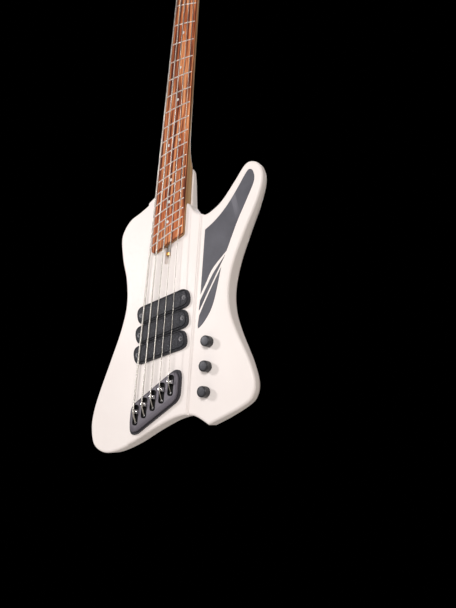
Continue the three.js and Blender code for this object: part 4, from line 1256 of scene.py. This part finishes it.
# Controls: a fluted knob with a stepped rim, and a paler cap let into its face.
for name, y in zip(controls["names"], controls["y"]):
    c = controls
    r, h = c["radius"], c["height"]
    profile = [[r - 0.5, 0], [r, 0.5], [r, 1.0], [r, h - 2.6], [r, h - 2.2], [r - 0.45, h - 2.0],
               [r - 0.45, h - 1.6], [r - 0.1, h - 1.4], [r - 0.25, h - 0.7], [r - 0.8, h - 0.2],
               [r - 1.5, h], [r - 2.2, h], [r - 2.4, h - 0.35]]
    place = (c["x"], y, bodyLook["wingTop"] + c["lift"])
    grip = standOn(turned(profile, 176, (c["flutes"], c["fluteDepth"], (2, 3))), place)
    addPiece(f"knob_{name}_grip", grip, "blackHardware", f"{name}_control", [f"knob_{name}"], sharp=50)
    cap = [[r - 2.5, h - 0.6], [r - 2.5, h - 0.3], [r - 2.7, h - 0.12], [1.0, h - 0.1]]
    addPiece(f"knob_{name}_cap", standOn(turned(cap, 64), place), "knobCap", f"{name}_control",
             sharp=50)

# Back plate, its screws, the neck bolts, the strap buttons and the jack.
ring = np.array(cover["outline"], float)[::-1]
ring = ring if isAnticlockwise(ring) else ring[::-1]
ring = ring + inward(ring) * cover["gap"]
addPiece("back_plate", slab(roundedOutline(ring, 2.5), bodyLook["back"] + 0.05,
                            bodyLook["back"] + cover["thick"], 0.35, 0, 3), "coverPlastic",
         nodes=["control_cover"], sharp=50)
head = screwHead(cover["screwRadius"], 1.6, True, 1.1)
heads = [standOn(head, (x, y, bodyLook["back"] - 0.15), (0, 0, -1)) for x, y in cover["screws"]]
addPiece("back_plate_screws", joined(heads), "steel")
for k, (x, y) in enumerate(bolts["places"]):
    head = screwHead(bolts["headRadius"], 3.0, True, 2.2, 0.5)
    addPiece(f"neck_screw_{k + 1}", standOn(head, (x, y, bodyLook["back"] + 0.4), (0, 0, -1)), "steel",
             nodes=[f"neck_bolt_{k + 1}"], sharp=40)
for strap in straps:
    profile = [[5, -1.4], [5.6, -0.2], [5.6, 0.9], [5.0, 1.6], [4.1, 2.6], [3.8, 3.8], [3.8, 6.4],
               [4.3, 7.9], [5.6, 9.0], [6.8, 9.7], [7.0, 10.4], [6.8, 11.0], [6.0, 11.6], [5.0, 11.8],
               [3.4, 11.5], [3.2, 10.4]]
    addPiece(f"strap_pin_{strap['name']}", standOn(turned(profile, 48), strap["place"], strap["axis"]),
             "blackHardware", nodes=[f"strap_button_{strap['name']}"], sharp=50)
    tip = np.array(strap["place"], float) + np.array(strap["axis"]) * 11.4
    head = screwHead(3.0, 1.4, True, 1.2)
    addPiece(f"strap_screw_{strap['name']}", standOn(head, tip, strap["axis"]), "steel")
washer = [[5.3, 0.3], [10.2, 0.3], [10.6, 0.7], [10.5, 1.3], [9.6, 2.0], [8.6, 2.2], [5.3, 2.2]]
addPiece("jack_washer", standOn(turnedLoop(washer, 64), jack["place"], jack["axis"]), "blackHardware",
         nodes=["jack_plate"], sharp=40)
print("controls and back made")

# The truss rod's thumb wheel with its pin holes, in the channel at the neck's end.
wheel = {"y": -634.3, "z": -11.4, "length": 6.0, "pin": 0.9}
profile = [[4.2, 0], [4.7, 0.25], [5.0, 0.7], [5.0, 5.3], [4.7, 5.75], [4.2, 6]]
wheelPlace = (0, wheel["y"] - wheel["length"], wheel["z"])
rodWheel = makeObject("rod_wheel_turned", standOn(turned(profile, 64), wheelPlace, (0, 1, 0)), "brass")
pins = [peg(wheel["pin"], (0, wheel["y"] - 3, wheel["z"]), 3.6, 7, (math.cos(a), 0, math.sin(a)), 16)
        for a in np.arange(4) * np.pi / 2]
carve(rodWheel, [makeObject(f"pin{k}", part, "brass") for k, part in enumerate(pins)])
finishPiece(rodWheel, "rod_wheel", ["truss_rod_wheel"], sharp=40)

# CAD nodes that stay, each with its finish.
kept = {"truss_rod": "steel", "jack_socket": "chrome"}
kept.update({f"pickup_coils_{name}": "coilCopper" for name in pickups["names"]})
for name in controls["names"]:
    kept[f"shaft_{name}"] = "steel"
    kept[f"control_{name}"] = "steel"
for node, material in kept.items():
    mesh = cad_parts[node].data
    mesh.materials.clear()
    mesh.materials.append(materials[material])

# The floor: a round sheet far below the instrument.
angle = np.linspace(0, 2 * np.pi, studio["floorSides"], endpoint=False)
rim = np.stack([np.cos(angle), np.sin(angle)], -1) * studio["floorRadius"]
sheet = bpy.data.meshes.new("floor")
rim = np.column_stack([rim, np.full(len(rim), studio["floorHeight"])])
sheet.from_pydata(rim.tolist(), [], [list(range(len(rim)))])
sheet.materials.append(materials["floor"])
ground = bpy.data.objects.new("floor", sheet)
bpy.context.scene.collection.objects.link(ground)
